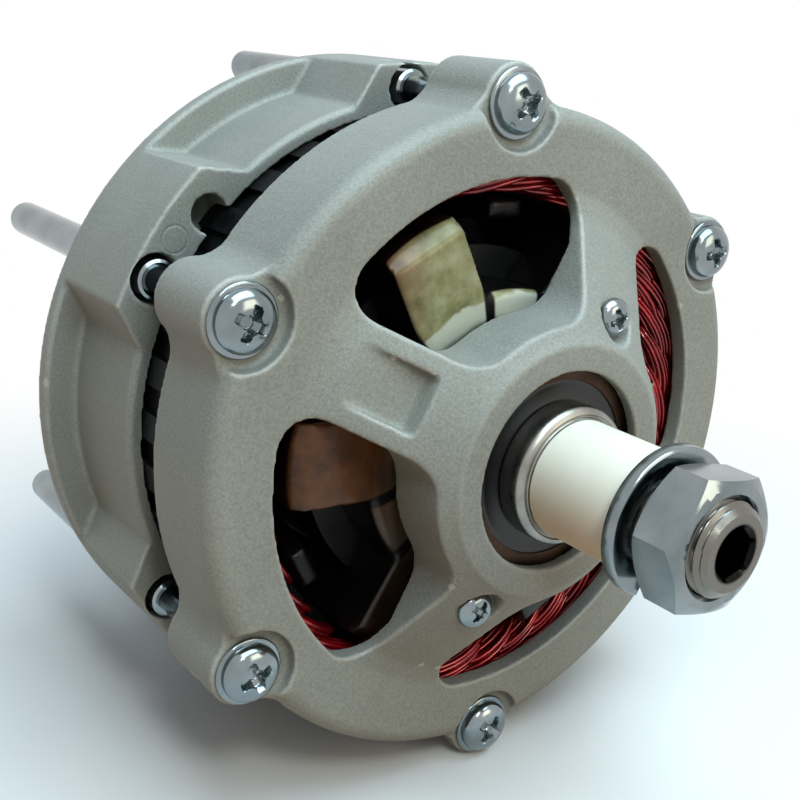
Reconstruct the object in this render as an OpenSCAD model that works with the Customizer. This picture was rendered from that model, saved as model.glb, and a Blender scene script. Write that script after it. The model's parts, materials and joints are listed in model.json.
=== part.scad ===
// Claw-pole alternator with a bare drive end, through bolts and long rear studs.
// Sizes are millimetres. The origin is on the shaft axis, in the rear face of the mounting flange.
// The drive end of the shaft points along -Y and +Z is up.

/* [Front bracket] */
// Thickness of the front bracket's wall round the core
front_wall_t = 4.5; // [3.5:0.1:6]
// Length of the front bracket's side wall
front_wall_len = 19.8; // [18.5:0.1:22]
// Radius of the rounding round the front rim
rim_round = 3.4; // [1:0.1:4]
// Distance the hub stands out in front of the rim
hub_rise = 16; // [14:0.1:18]
// Wall of the hub round the front bearing
hub_wall = 4.4; // [3.5:0.1:6]
// Distance from a window's outer edge in to the spoke's foot
spoke_foot = 3; // [1:0.1:5]
// Width of one spoke
spoke_w = 18; // [14:0.5:22]
// Width of the rim outside the air windows
rim_w = 12.5; // [10:0.1:15]
// Distance from the hub's front ring out to the windows
window_gap = 2.1; // [1:0.1:5]
// Corner radius of a window at the rim
window_corner = 6; // [2:0.1:7]
// Corner radius of a window at the hub
window_fillet = 8; // [2:0.1:9]
// Thickness of the rim's front wall
rim_wall = 4; // [3:0.1:4.4]
// Radius of a bolt ear
ear_r = 7; // [6.8:0.1:8.5]
// Radius of the hollow blend between an ear and the wall
ear_blend = 9; // [5:0.1:14]
// Depth of the spot face under a bolt head
spot_depth = 2.5; // [1:0.1:4]
// Radius of the spot face under a bolt head
spot_r = 8.2; // [7:0.1:9]
// Width of the pocket in a plain spoke
pocket_w = 10.5; // [6:0.1:12]
// Radius at which the pocket's steep end stands
pocket_r = 31; // [29:0.1:34]
// Length of the pocket along the spoke
pocket_len = 12; // [6:0.1:14]

/* [Rear bracket] */
// Length of the rear bracket in front of the flange's rear face
rear_wall_len = 27.5; // [24:0.1:32]
// Visible gap between the two brackets
gap_len = 13.5; // [10:0.1:17]
// Thickness of the rear bracket's wall round the core
rear_wall_t = 3.2; // [2.6:0.1:4.5]
// Width of the mounting flange outside the wall
flange_w = 6.3; // [5.6:0.1:9]
// Thickness of the mounting flange
flange_t = 4; // [3.6:0.1:6]
// Half angle of a boss at the flange radius
boss_half = 5.5; // [4.5:0.1:8]
// Extra angle over which the boss flank slopes down
boss_flank = 6; // [3:0.1:8]
// Extra angle of the one wide boss
wide_boss = 12; // [8:0.5:16]
// Radius of the round notch in the wide boss
notch_r = 3.5; // [2:0.1:4]
// Outside radius of the rear cup
cup_r = 52; // [50.5:0.1:55]
// Wall of the rear cup
cup_wall = 3.5; // [2.5:0.1:4]
// Depth of the rear cup behind the flange
cup_depth = 24.5; // [24:0.1:30]
// Distance the rear hub stands out behind the cup
rear_hub_out = 2.5; // [1:0.1:3]
// Wall of the rear hub round the bearing sleeve
rear_hub_wall = 4.5; // [3:0.1:5]
// Width of one vent slot
vent_w = 5; // [3:0.1:6]
// Length of one vent slot in the end wall
vent_len = 14; // [8:0.1:16]
// Number of vent slots round the side of the cup
side_vents = 18; // [6:1:24]

/* [Through bolts and rear studs] */
// Number of through bolts
bolt_count = 6; // [6:1:6]
// Distance from the core's outside to the middle of a bolt
bolt_out = 4.5; // [4.3:0.1:6]
// Radius of a through bolt's shank
bolt_r = 2.5; // [2:0.1:2.6]
// Radius of a through bolt's head
bolt_head_r = 5.4; // [4.5:0.1:6]
// Height of a through bolt's head
bolt_head_h = 3.1; // [2:0.1:4]
// Radius of the washer under a bolt head
washer_r = 6.3; // [6:0.1:6.7]
// Thickness of the washer under a bolt head
washer_t = 0.9; // [0.5:0.1:1.4]
// Radius of a rear stud behind the flange
stud_r = 3.5; // [3.2:0.1:3.9]
// Extra radius of a rear stud where it is pressed into its boss
stud_press = 0.2; // [0.05:0.05:0.4]
// Distance a rear stud stands out behind the flange
stud_out = 39.2; // [25:0.1:60]
// Distance a rear stud's front end stands out of its boss
stud_proud = 1; // [0.2:0.1:3]
// Radius of the recess round a stud's front end
recess_r = 4.6; // [4.2:0.1:5]
// Depth of the recess round a stud's front end
recess_depth = 8; // [4:0.1:14]

/* [Stator] */
// Length of the laminated core
stack_len = 25; // [22:0.1:30]
// Outside radius of the laminated core
core_r = 58; // [57:0.1:58.4]
// Number of slots
slot_count = 36; // [24:12:48]
// Width of one slot
slot_w = 4.2; // [2.5:0.1:4.4]
// Thickness of the core's iron outside the slots
back_iron = 3.1; // [2.7:0.1:6]
// Width of the slot's mouth at the bore
slot_mouth = 2.2; // [1.2:0.1:2.4]
// Depth of the grooves down the outside of the core
groove_depth = 1.2; // [0.4:0.1:1.6]
// Width of the grooves down the outside of the core
groove_w = 4.8; // [2:0.1:5]
// Clearance between the end turns and the front bracket's rim
end_gap = 0.75; // [0.5:0.05:3]
// Distance from the core's outside in to its bore
core_depth = 12.6; // [11:0.1:14]
// Radius of the dents between the end turns' coils
knuckle_r = 1.5; // [0.5:0.1:2]

/* [Rotor] */
// Air gap between rotor and stator
air_gap = 0.4; // [0.3:0.05:0.6]
// Number of claws on each pole
claw_count = 6; // [4:1:7]
// Thickness of a pole's disc
pole_t = 12; // [9:0.1:13]
// Radius of a pole's disc between the claws
pole_disc_r = 29.5; // [27:0.1:33]
// Width of a claw at its root
claw_root_w = 16; // [12:0.1:18]
// Width of a claw at its tip
claw_tip_w = 7.6; // [4:0.1:9]
// Thickness of a claw at its root
claw_root_t = 9; // [6:0.1:11]
// Thickness of a claw at its tip
claw_tip_t = 3.4; // [2:0.1:5]
// Size of the bevel along a claw's front edge
claw_bevel = 2.8; // [1:0.1:4]
// Distance from a claw's tip to the far face of the other pole
claw_tip_gap = 5.5; // [3:0.1:8]
// Radial height of the field coil's winding
coil_w = 9.5; // [7:0.1:12]
// Clearance between the field coil and the claws
coil_gap = 1; // [0.6:0.1:4]
// Wall of the coil's bobbin
bobbin_t = 1.5; // [1:0.1:2.5]
// Radius of the slip rings
slip_ring_r = 13.5; // [12.5:0.1:14.5]
// Width of one slip ring
slip_ring_w = 6; // [5.4:0.1:6.4]
// Distance between the two slip rings
slip_ring_gap = 2.5; // [2:0.1:3]
// Distance from the rear pole to the first slip ring
slip_ring_back = 2.7; // [2:0.1:3.5]

/* [Shaft end] */
// Radius of the shaft's journal
shaft_r = 8.5; // [8.3:0.1:8.5]
// Step from the journal down to the threaded end
thread_step = 0.5; // [0.3:0.1:1]
// Step from the journal down to the rear journal
rear_step = 1; // [0.5:0.1:2]
// Radius of the steel spacer collar
collar_r = 12.9; // [12:0.1:14]
// Length of the steel spacer collar
collar_len = 5.6; // [4:0.1:8]
// Radius of the pale plastic sleeve
sleeve_r = 10.8; // [10:0.1:12]
// Length of the pale plastic sleeve
sleeve_len = 18.9; // [12:0.1:28]
// Outside radius of the spring washer
lock_washer_r = 13.2; // [12.4:0.1:14]
// Thickness of the spring washer
lock_washer_t = 2.6; // [2:0.1:4.5]
// Distance the spring washer's ends stand apart
lock_washer_rise = 2.5; // [0.5:0.1:3]
// Width of the nut across its flats
nut_flats = 22; // [20:0.5:27]
// Thickness of the nut
nut_t = 9; // [6:0.1:13]
// Distance the shaft stands out of the nut
shaft_proud = 2.3; // [0.5:0.1:8]
// Width across the flats of the shaft's hexagon socket
socket_flats = 8; // [5:0.5:10]
// Depth of the shaft's hexagon socket
socket_depth = 9; // [4:0.1:14]

/* [Bearings] */
// Outside radius of the front bearing
front_bearing_r = 20; // [20:0.1:21]
// Width of the front bearing
front_bearing_w = 12; // [11:0.1:13]
// Radius of the front bearing's ball circle
front_ball_circle = 14.25; // [14.1:0.05:14.4]
// Radius of a front bearing ball
front_ball_r = 3.35; // [3:0.05:3.4]
// Outside radius of the rear bearing
rear_bearing_r = 17.5; // [17.5:0.1:18]
// Width of the rear bearing
rear_bearing_w = 11; // [10:0.1:12]
// Radius of the rear bearing's ball circle
rear_ball_circle = 12.5; // [12.4:0.05:12.7]
// Radius of a rear bearing ball
rear_ball_r = 2.95; // [2.6:0.05:3]
// Number of balls in each bearing
ball_count = 8; // [6:1:8]
// Depth of the lip in front of the front bearing
front_lip = 2.8; // [2:0.1:4]
// Width of the lip in front of the front bearing
front_lip_w = 1.4; // [1:0.1:3]
// Depth of the lip behind the rear bearing
rear_lip = 2; // [1:0.1:3]
// Wall of the plastic sleeve round the rear bearing
bearing_sleeve_t = 1.5; // [1:0.1:2]
// Thickness of the bearing retainer plate
retainer_t = 1.8; // [1.2:0.1:2.4]
// Distance from the retainer plate to the front pole
pole_clear = 1.4; // [1:0.1:2.5]
// Radius of the circle that the retainer screws stand on
retainer_circle_r = 29.2; // [28:0.1:30.5]
// Radius of a retainer screw's shank
retainer_screw_r = 2; // [1.5:0.1:2.2]
// Radius of a retainer screw's head
retainer_head_r = 3.7; // [3:0.1:4]
// Depth of the seat of a retainer screw below the hub's face
retainer_seat_depth = 5.7; // [4:0.1:8]

/* [Rear electrics] */
// Radius of a pressed-in diode
diode_r = 6.3; // [5:0.1:6.4]
// Height of a pressed-in diode
diode_h = 8; // [6:0.1:8.5]
// Thickness of the diode plates
plate_t = 3; // [2:0.1:4]
// Distance from the end wall to the diode plates
plate_stand = 7; // [6:0.1:8]
// Width of the diode plates
plate_w = 18; // [16:0.1:20]
// Clearance between the diode plates and the cup
plate_gap = 2.5; // [2:0.1:4]
// Thickness of the terminal board
board_t = 2; // [1.5:0.1:3]
// Distance from the diode plates to the terminal board
board_stand = 11.5; // [10.5:0.1:12]
// Radius of the plus terminal's stud
plus_r = 3; // [2.5:0.1:3.2]
// Radius of the field terminal's stud
field_r = 2.5; // [2:0.1:2.6]
// Length of bare stud behind a terminal's nut
terminal_out = 11.5; // [6:0.1:16]
// Thickness of a terminal's nut
terminal_nut_t = 4; // [3:0.1:6]
// Thickness of the washer part of a terminal's nut
terminal_washer_t = 1; // [0.6:0.1:1.6]
// Thickness of a terminal bush's flange
bush_t = 4; // [2:0.1:6]
// Radius of a small screw's shank
screw_r = 2; // [1.5:0.1:2.1]
// Radius of a small screw's head
screw_head_r = 3.8; // [3:0.1:4.4]
// Height of a small screw's head
screw_head_h = 2.4; // [1.6:0.1:3]
// Radius of the pillars and spacers round the small screws
pillar_r = 3.6; // [3:0.1:4.2]
// Radius of an exciter diode
exciter_r = 2.1; // [1.5:0.1:2.4]
// Length of an exciter diode
exciter_len = 9; // [6:0.1:10]
// Width of a brush
brush_w = 7; // [5:0.1:8]
// Thickness of a brush
brush_t = 4.4; // [3.5:0.1:4.6]
// Length of a brush
brush_len = 13; // [10:0.1:15]
// Length of a brush's spring as fitted
spring_len = 7.6; // [6:0.1:10]
// Thickness of the regulator
regulator_t = 9; // [5:0.1:12]
// Width of the regulator
regulator_w = 27; // [20:0.5:30]
// Thickness of the brush holder's outer plate
holder_plate_t = 3; // [2:0.1:4]

/* [Hidden] */
$fn = 64;

// Clearances
fit = 0.02;          // between pieces pressed or screwed together
seat = 0.05;         // between a machined seat and what sits in it
slip = 0.2;          // between a brush and its guide
ball_fit = 0.05;     // between a ball and its races
pitch_drop = 0.3;    // from a small thread's outside in to where it meets its nut
over = 1;            // how far a cutting solid runs past what it cuts

// Radii of the core, the brackets and the rotor, each from the one before
core_bore = core_r - core_depth;
rotor_r = core_bore - air_gap;
slot_depth = core_r - back_iron - core_bore - 1.5;
shoulder_r = core_r - 1.5;
rim_r = core_r + front_wall_t;
window_r_out = rim_r - rim_w;
spoke_foot_r = window_r_out - spoke_foot;
hub_r = front_bearing_r + hub_wall;
window_r_in = hub_r + window_gap;
front_opening_r = front_bearing_r - front_lip_w;
rear_wall_r = core_r + rear_wall_t;
flange_r = rear_wall_r + flange_w;
bolt_circle_r = core_r + bolt_out;
coil_r = rotor_r - claw_root_t - coil_gap;
rotor_core_r = coil_r - coil_w - bobbin_t;
thread_r = shaft_r - thread_step;
rear_shaft_r = shaft_r - rear_step;
plate_r_out = cup_r - cup_wall - plate_gap;
plate_r_in = plate_r_out - plate_w;
diode_circle_r = (plate_r_out + plate_r_in) / 2;

// Places along the shaft, measured forward from the flange's rear face
gap_back = rear_wall_len;
gap_front = gap_back + gap_len;
stack_back = gap_back - (stack_len - gap_len) / 2;
stack_front = stack_back + stack_len;
stack_mid = stack_back + stack_len / 2;
rim_face = gap_front + front_wall_len;
hub_face = rim_face + hub_rise;
spot_face = rim_face - spot_depth;
end_turn_h = rim_face - rim_wall - end_gap - stack_front;
front_bearing_front = hub_face - front_lip;
front_bearing_back = front_bearing_front - front_bearing_w;
pole_front = front_bearing_back - retainer_t - pole_clear;
pole_back = 2 * stack_mid - pole_front;
collar_front = front_bearing_front + collar_len;
sleeve_front = collar_front + sleeve_len;
washer_front = sleeve_front + lock_washer_t + lock_washer_rise;
nut_front = washer_front + nut_t;
shaft_front = nut_front + shaft_proud;
cup_back = -cup_depth;
end_wall_in = cup_back + cup_wall;
rear_hub_back = cup_back - rear_hub_out;
rear_bearing_back = rear_hub_back + rear_lip;
rear_bearing_front = rear_bearing_back + rear_bearing_w;
shaft_back = rear_bearing_back - 1;
ring_a_front = pole_back - slip_ring_back;
ring_a_back = ring_a_front - slip_ring_w;
ring_b_front = ring_a_back - slip_ring_gap;
ring_b_back = ring_b_front - slip_ring_w;
plate_back = end_wall_in + plate_stand;
plate_front = plate_back + plate_t;
board_back = plate_front + board_stand;
board_front = board_back + board_t;

// Radii that follow from the fits
stud_bore = stud_r + stud_press + fit;
front_seat_r = front_bearing_r + fit;
rear_seat_r = rear_bearing_r + bearing_sleeve_t + 2 * fit;
rear_hub_r = rear_seat_r + rear_hub_wall;
ear_top_r = bolt_circle_r + ear_r;

// Angles round the shaft, seen from the drive end and counted from the right
bolt_turn = 30;
spoke_turn = 60;
screw_turn = [60, 240];
pocket_turn = [150, 330];
plus_diodes = [150, 187, 224];
minus_diodes = [316, 353, 390];
spacer_turn = [168.5, 205.5, 334.5, 371.5];
plus_turn = 252;
field_turn = 286;
wide_turn = 150;

// Turns a piece drawn with its axis along Z so that the drive end points along -Y
module along_shaft() {
    rotate([90, 0, 0]) children();
}

module around(turns, r = 0) {
    for (a = turns) rotate([0, 0, a]) translate([r, 0, 0]) children();
}

module disc(r, back, front) {
    translate([0, 0, back]) cylinder(r = r, h = front - back);
}

module ring(r_out, r_in, back, front) {
    difference() {
        disc(r_out, back, front);
        disc(r_in, back - over, front + over);
    }
}

module block(x, y, z) {
    translate([x[0], y[0], z[0]]) cube([x[1] - x[0], y[1] - y[0], z[1] - z[0]]);
}

module hexagon(flats, back, front) {
    translate([0, 0, back]) cylinder(r = flats / sqrt(3), h = front - back, $fn = 6);
}

// A slot with round ends, lying along X
module round_slot(len, w, back, front) {
    translate([0, 0, back]) linear_extrude(front - back) {
        square([len - w, w], center = true);
        for (s = [-1, 1]) translate([s * (len - w) / 2, 0]) circle(d = w, $fn = 24);
    }
}

function polar(r, a) = [r * cos(a), r * sin(a)];
function arc(c, r, a0, a1, n) = [for (i = [0:n]) c + polar(r, a0 + (a1 - a0) * i / n)];
bolt_turns = [for (i = [0:bolt_count - 1]) bolt_turn + i * 360 / bolt_count];

// A flat pie slice from angle a0 to angle a1
module slice(r, a0, a1) {
    polygon(concat([[0, 0]], arc([0, 0], r, a0, a1, 12)));
}

// The part of a flat ring between two angles
module ring_slice(r_out, r_in, a0, a1) {
    intersection() {
        difference() {
            circle(r_out);
            circle(r_in);
        }
        slice(r_out * 1.2, a0, a1);
    }
}

// One window, drawn in the quadrant between the +X and the +Y spoke
module window_shape() {
    half = spoke_w / 2;
    outer_c = [sqrt(pow(window_r_out - window_corner, 2) - pow(half + window_corner, 2)), half + window_corner];
    inner_c = [sqrt(pow(window_r_in + window_fillet, 2) - pow(half + window_fillet, 2)), half + window_fillet];
    difference() {
        intersection() {
            difference() {
                circle(window_r_out);
                circle(window_r_in);
            }
            translate([half, half]) square(window_r_out);
        }
        for (turn = [0, 1]) mirror([turn, -turn, 0]) {
            difference() {
                polygon([outer_c, [outer_c[0], half - over], [window_r_out + over, half - over],
                    outer_c * (window_r_out + 3 * over) / norm(outer_c)]);
                translate(outer_c) circle(window_corner);
            }
            difference() {
                polygon([inner_c, inner_c * (window_r_in - 2 * over) / norm(inner_c),
                    [sqrt(pow(window_r_in, 2) - half * half) - 2 * over, half - over], [inner_c[0], half - over]]);
                translate(inner_c) circle(window_fillet);
            }
        }
    }
}

// The outline of one ear on the +X axis, with hollow blends into the side wall
module ear_shape() {
    reach = rim_r + ear_blend;
    turn = acos((reach * reach + pow(bolt_circle_r, 2) - pow(ear_r + ear_blend, 2)) / (2 * reach * bolt_circle_r));
    difference() {
        union() {
            translate([bolt_circle_r, 0]) circle(ear_r);
            difference() {
                polygon([polar(rim_r - 2.1, turn), polar(reach, turn), [bolt_circle_r, 0],
                    polar(reach, -turn), polar(rim_r - 2.1, -turn)]);
                for (s = [-1, 1]) rotate(s * turn) translate([reach, 0]) circle(ear_blend + 0.25);
            }
        }
        translate([0, -rim_r]) square([core_r + 1.5, 2 * rim_r]);
    }
}

// Front bracket: a bell-shaped casting with four windows, six ears and a bearing hub
module front_bracket() {
    ramp = hub_rise / (spoke_foot_r - hub_r);
    outside = concat(
        [[front_opening_r, hub_face], [hub_r - 0.8, hub_face], [hub_r, hub_face - 0.8],
         [spoke_foot_r - 2, rim_face + 2 * ramp - 0.3], [spoke_foot_r + 1.5, rim_face]],
        arc([rim_r - rim_round, rim_face - rim_round], rim_round, 90, 0, 6),
        [[rim_r, gap_front]]);
    inside = [[core_r + seat, gap_front], [core_r + seat, stack_front], [shoulder_r, stack_front],
        [shoulder_r, rim_face - rim_wall], [rotor_r + 3.5, rim_face - rim_wall],
        [rotor_r - 6, front_bearing_back], [front_seat_r, front_bearing_back],
        [front_seat_r, front_bearing_front], [front_opening_r, front_bearing_front]];
    seat_z = hub_face - retainer_seat_depth;
    ramp_z = rim_face + (spoke_foot_r - pocket_r) * ramp;
    foot_z = rim_face + (spoke_foot_r - pocket_r - pocket_len) * ramp;
    color("darkgray") along_shaft() difference() {
        union() {
            rotate_extrude($fn = 128) polygon(concat(outside, inside));
            around(bolt_turns) translate([0, 0, gap_front]) linear_extrude(spot_face - gap_front) ear_shape();
        }
        for (i = [0:3]) rotate([0, 0, spoke_turn + 90 * i]) translate([0, 0, stack_front + over])
            linear_extrude(hub_face) window_shape();
        around(bolt_turns, bolt_circle_r) {
            disc(spot_r, spot_face, rim_face + over);
            disc(bolt_r + 0.25, gap_front - over, rim_face);
        }
        around(screw_turn, retainer_circle_r) {
            disc(retainer_head_r + 0.7, seat_z, hub_face + over);
            disc(retainer_screw_r + 0.2, front_bearing_back - over, hub_face);
        }
        around(pocket_turn) rotate([90, 0, 0]) translate([0, 0, -pocket_w / 2]) linear_extrude(pocket_w)
            polygon([[pocket_r, ramp_z - 4.6], [pocket_r, ramp_z + 3], [pocket_r + pocket_len, foot_z + 3],
                [pocket_r + pocket_len, foot_z - 0.4]]);
    }
}

// One boss of the rear bracket, reaching left and right of its bolt by the given angles
module boss_shape(left, right) {
    intersection() {
        circle(flange_r);
        difference() {
            polygon([[0, 0], polar(rear_wall_r, -right - boss_flank), polar(flange_r + 1, -right),
                polar(flange_r / cos((left + right) / 2) + 2, (left - right) / 2),
                polar(flange_r + 1, left), polar(rear_wall_r, left + boss_flank)]);
            circle(core_r + 1.5);
        }
    }
}

// Rear bracket: wall, mounting flange, rear cup with vents, and the rear bearing's hub
module rear_bracket() {
    wall = [[rear_hub_r - 11, rear_hub_back], [rear_hub_r - 0.6, rear_hub_back], [rear_hub_r, rear_hub_back + 0.6],
        [rear_hub_r, cup_back], [cup_r - 2, cup_back], [cup_r, cup_back + 2], [cup_r, 0],
        [flange_r - 0.5, 0], [flange_r, 0.5], [flange_r, flange_t - 0.5], [flange_r - 0.5, flange_t],
        [rear_wall_r + 0.3, flange_t], [rear_wall_r, flange_t + 0.3], [rear_wall_r - 0.2, gap_back - 0.8],
        [rear_wall_r - 1, gap_back], [core_r + seat, gap_back], [core_r + seat, stack_back],
        [shoulder_r, stack_back], [shoulder_r, cup_wall], [cup_r - cup_wall, cup_wall],
        [cup_r - cup_wall, end_wall_in], [rear_hub_r, end_wall_in], [rear_hub_r, rear_bearing_front],
        [rear_seat_r, rear_bearing_front], [rear_seat_r, rear_bearing_back],
        [rear_hub_r - 11, rear_bearing_back]];
    vent_turns = [for (a = concat(plus_diodes, minus_diodes)) for (s = [-6, 6]) a + s];
    side_turns = [for (i = [0:side_vents - 1]) (i + 0.5) * 360 / side_vents];
    color("darkgray") along_shaft() difference() {
        union() {
            rotate_extrude($fn = 128) polygon(wall);
            for (a = bolt_turns) rotate([0, 0, a]) translate([0, 0, 1]) linear_extrude(gap_back - 1)
                boss_shape(boss_half, a == wide_turn ? boss_half + wide_boss : boss_half);
        }
        around(bolt_turns, bolt_circle_r) {
            disc(stud_bore, -over, gap_back);
            disc(recess_r, gap_back - recess_depth, gap_back + over);
        }
        around([wide_turn - wide_boss - 2], core_r + 2.2) disc(notch_r, gap_back - recess_depth, gap_back + over);
        around(vent_turns, diode_circle_r) round_slot(vent_len, vent_w, cup_back - over, end_wall_in + over);
        around(side_turns) rotate([0, 90, 0]) translate([cup_depth / 2, 0, cup_r - 2 * cup_wall])
            round_slot(cup_depth - 9, vent_w, 0, 3 * cup_wall);
        around(spacer_turn, diode_circle_r) disc(screw_r + 0.2, cup_back - over, end_wall_in + over);
        around([plus_turn], diode_circle_r) disc(plus_r + 3.1, cup_back - over, end_wall_in + over);
        around([field_turn], diode_circle_r) disc(field_r + 3.1, cup_back - over, end_wall_in + over);
        block([-neck_x - 0.3, neck_x + 0.3], [neck_y0 - 0.3, holder_top + 0.3], [cup_back - over, end_wall_in + over]);
        for (s = [-1, 1]) translate([s * ear_x, ear_y, 0]) disc(screw_r + fit, cup_back - over, end_wall_in + over);
    }
}

// Laminated core with slots inside and shallow grooves outside
module stator_core() {
    pitch = 360 / slot_count;
    color("dimgray") along_shaft() translate([0, 0, stack_back]) linear_extrude(stack_len) difference() {
        circle(core_r, $fn = 128);
        circle(core_bore, $fn = 128);
        for (i = [0:slot_count - 1]) rotate(i * pitch) {
            translate([core_bore + 1.5, -slot_w / 2]) square([slot_depth, slot_w]);
            translate([core_bore - over, -slot_mouth / 2]) square([2 * over + 1.5, slot_mouth]);
            translate([core_r - groove_depth, -groove_w / 2]) square([groove_depth + over, groove_w]);
        }
    }
}

// Copper winding: one leg in each slot and a dented ring of end turns at each end
module stator_winding() {
    pitch = 360 / slot_count;
    r_in = core_bore + 1.8;
    r_out = core_bore + slot_depth + 1.2;
    half = slot_w / 2 - 0.3;
    color("firebrick") along_shaft() difference() {
        union() {
            for (i = [0:slot_count - 1]) rotate([0, 0, i * pitch])
                block([r_in, r_out], [-half, half], [stack_back - over, stack_front + over]);
            for (end = [0, 1]) translate([0, 0, stack_mid]) mirror([0, 0, end]) rotate_extrude($fn = 128)
                polygon(concat([[r_in, stack_len / 2 + 0.3]], [[r_out + 0.8, stack_len / 2 + 0.3]],
                    arc([r_out - 1.7, stack_len / 2 + end_turn_h - 2.5], 2.5, 0, 90, 3),
                    arc([r_in + 2.5, stack_len / 2 + end_turn_h - 2.5], 2.5, 90, 180, 3)));
        }
        for (end = [-1, 1]) for (i = [0:slot_count - 1]) rotate([0, 0, (i + 0.5) * pitch])
            translate([r_in - over, 0, stack_mid + end * (stack_len / 2 + end_turn_h + 0.4)])
                rotate([0, 90, 0]) cylinder(r = knuckle_r, h = r_out - r_in + 2 * over, $fn = 24);
    }
}

// Through bolts: domed heads on the front ears, shanks screwed into the rear studs
module through_bolts() {
    base = spot_face + washer_t;
    color("lightsteelblue") along_shaft() around(bolt_turns, bolt_circle_r) rotate_extrude()
        polygon(concat([[0, gap_back - recess_depth + 0.5], [bolt_r, gap_back - recess_depth + 0.5], [bolt_r, base],
            [bolt_head_r, base], [bolt_head_r, base + bolt_head_h * 0.45]],
            arc([0, base - bolt_head_h * 0.9], bolt_head_h * 1.9, 55, 90, 5)));
}

module bolt_washers() {
    color("lightsteelblue") along_shaft() around(bolt_turns, bolt_circle_r)
        ring(washer_r, bolt_r + 0.1, spot_face, spot_face + washer_t);
}

// Rear studs: round bars pressed into the bosses, tapped in front for the through bolts
module rear_studs() {
    tap_back = gap_back - recess_depth;
    color("silver") along_shaft() around(bolt_turns, bolt_circle_r) difference() {
        rotate_extrude() polygon(concat([[0, gap_back + stud_proud], [stud_r - 0.3, gap_back + stud_proud],
            [stud_r + stud_press, gap_back + stud_proud - 0.4], [stud_r + stud_press, 0], [stud_r, 0]],
            arc([stud_r - 2, -stud_out + 2], 2, 0, -90, 5), [[0, -stud_out]]));
        disc(bolt_r + fit, tap_back, gap_back + stud_proud + over);
    }
}

// Retainer plate that holds the front bearing in the hub
module bearing_retainer() {
    color("silver") along_shaft() difference() {
        translate([0, 0, front_bearing_back - retainer_t]) linear_extrude(retainer_t) {
            circle(front_bearing_r + 4);
            rotate(screw_turn[0]) square([2 * retainer_circle_r, 10], center = true);
            around(screw_turn, retainer_circle_r) circle(5);
        }
        disc(front_ball_circle + 1.5, 0, hub_face);
        around(screw_turn, retainer_circle_r) disc(retainer_screw_r + fit, 0, hub_face);
    }
}

module retainer_screws() {
    base = hub_face - retainer_seat_depth;
    tip = front_bearing_back - retainer_t - 0.3;
    color("silver") along_shaft() around(screw_turn, retainer_circle_r) rotate_extrude()
        polygon(concat([[0, tip], [retainer_screw_r, tip], [retainer_screw_r, base], [retainer_head_r, base],
            [retainer_head_r, base + 1.4]], arc([0, base - 0.9], 3.5, 50, 90, 4)));
}

// Outer race of a ball bearing, with a groove for the balls
module outer_race(r, w, circle_r, ball_r, back) {
    land = circle_r + ball_r * 0.68;
    translate([0, 0, back + w / 2]) rotate_extrude($fn = 96) difference() {
        polygon([[land, -w / 2], [r - 0.8, -w / 2], [r, -w / 2 + 0.8], [r, w / 2 - 0.8], [r - 0.8, w / 2], [land, w / 2]]);
        translate([circle_r, 0]) circle(ball_r + ball_fit, $fn = 32);
    }
}

module inner_race(r, w, circle_r, ball_r, back) {
    land = circle_r - ball_r * 0.82;
    translate([0, 0, back + w / 2]) rotate_extrude($fn = 96) difference() {
        polygon([[r, -w / 2], [land, -w / 2], [land, w / 2], [r, w / 2]]);
        translate([circle_r, 0]) circle(ball_r + ball_fit, $fn = 32);
    }
}

module balls(w, circle_r, ball_r, back) {
    around([for (i = [0:ball_count - 1]) i * 360 / ball_count], circle_r)
        translate([0, 0, back + w / 2]) sphere(ball_r, $fn = 32);
}

module cage(w, circle_r, ball_r, back) {
    difference() {
        ring(circle_r + 1.1, circle_r - 1.1, back + w / 2 - ball_r - 0.7, back + w / 2 + ball_r + 0.7);
        around([for (i = [0:ball_count - 1]) i * 360 / ball_count], circle_r)
            translate([-3, 0, back + w / 2]) rotate([0, 90, 0]) cylinder(r = ball_r + 0.15, h = 6, $fn = 32);
    }
}

module seals(w, circle_r, ball_r, back) {
    for (z = [back + 0.3, back + w - 1.1])
        ring(circle_r + ball_r * 0.68 - fit, circle_r - ball_r * 0.82 + 0.3, z, z + 0.8);
}

module front_bearing_outer_race() {
    color("gainsboro") along_shaft()
        outer_race(front_bearing_r, front_bearing_w, front_ball_circle, front_ball_r, front_bearing_back);
}

module front_bearing_inner_race() {
    color("gainsboro") along_shaft()
        inner_race(shaft_r + fit, front_bearing_w, front_ball_circle, front_ball_r, front_bearing_back);
}

module front_bearing_balls() {
    color("white") along_shaft() balls(front_bearing_w, front_ball_circle, front_ball_r, front_bearing_back);
}

module front_bearing_cage() {
    color("burlywood") along_shaft() cage(front_bearing_w, front_ball_circle, front_ball_r, front_bearing_back);
}

module front_bearing_seals() {
    color("black") along_shaft() seals(front_bearing_w, front_ball_circle, front_ball_r, front_bearing_back);
}

module rear_bearing_outer_race() {
    color("gainsboro") along_shaft()
        outer_race(rear_bearing_r, rear_bearing_w, rear_ball_circle, rear_ball_r, rear_bearing_back);
}

module rear_bearing_inner_race() {
    color("gainsboro") along_shaft()
        inner_race(rear_shaft_r + fit, rear_bearing_w, rear_ball_circle, rear_ball_r, rear_bearing_back);
}

module rear_bearing_balls() {
    color("white") along_shaft() balls(rear_bearing_w, rear_ball_circle, rear_ball_r, rear_bearing_back);
}

module rear_bearing_cage() {
    color("burlywood") along_shaft() cage(rear_bearing_w, rear_ball_circle, rear_ball_r, rear_bearing_back);
}

module rear_bearing_seals() {
    color("black") along_shaft() seals(rear_bearing_w, rear_ball_circle, rear_ball_r, rear_bearing_back);
}

module rear_bearing_sleeve() {
    color("black") along_shaft()
        ring(rear_seat_r - fit, rear_bearing_r + fit, rear_bearing_back, rear_bearing_front);
}

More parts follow.
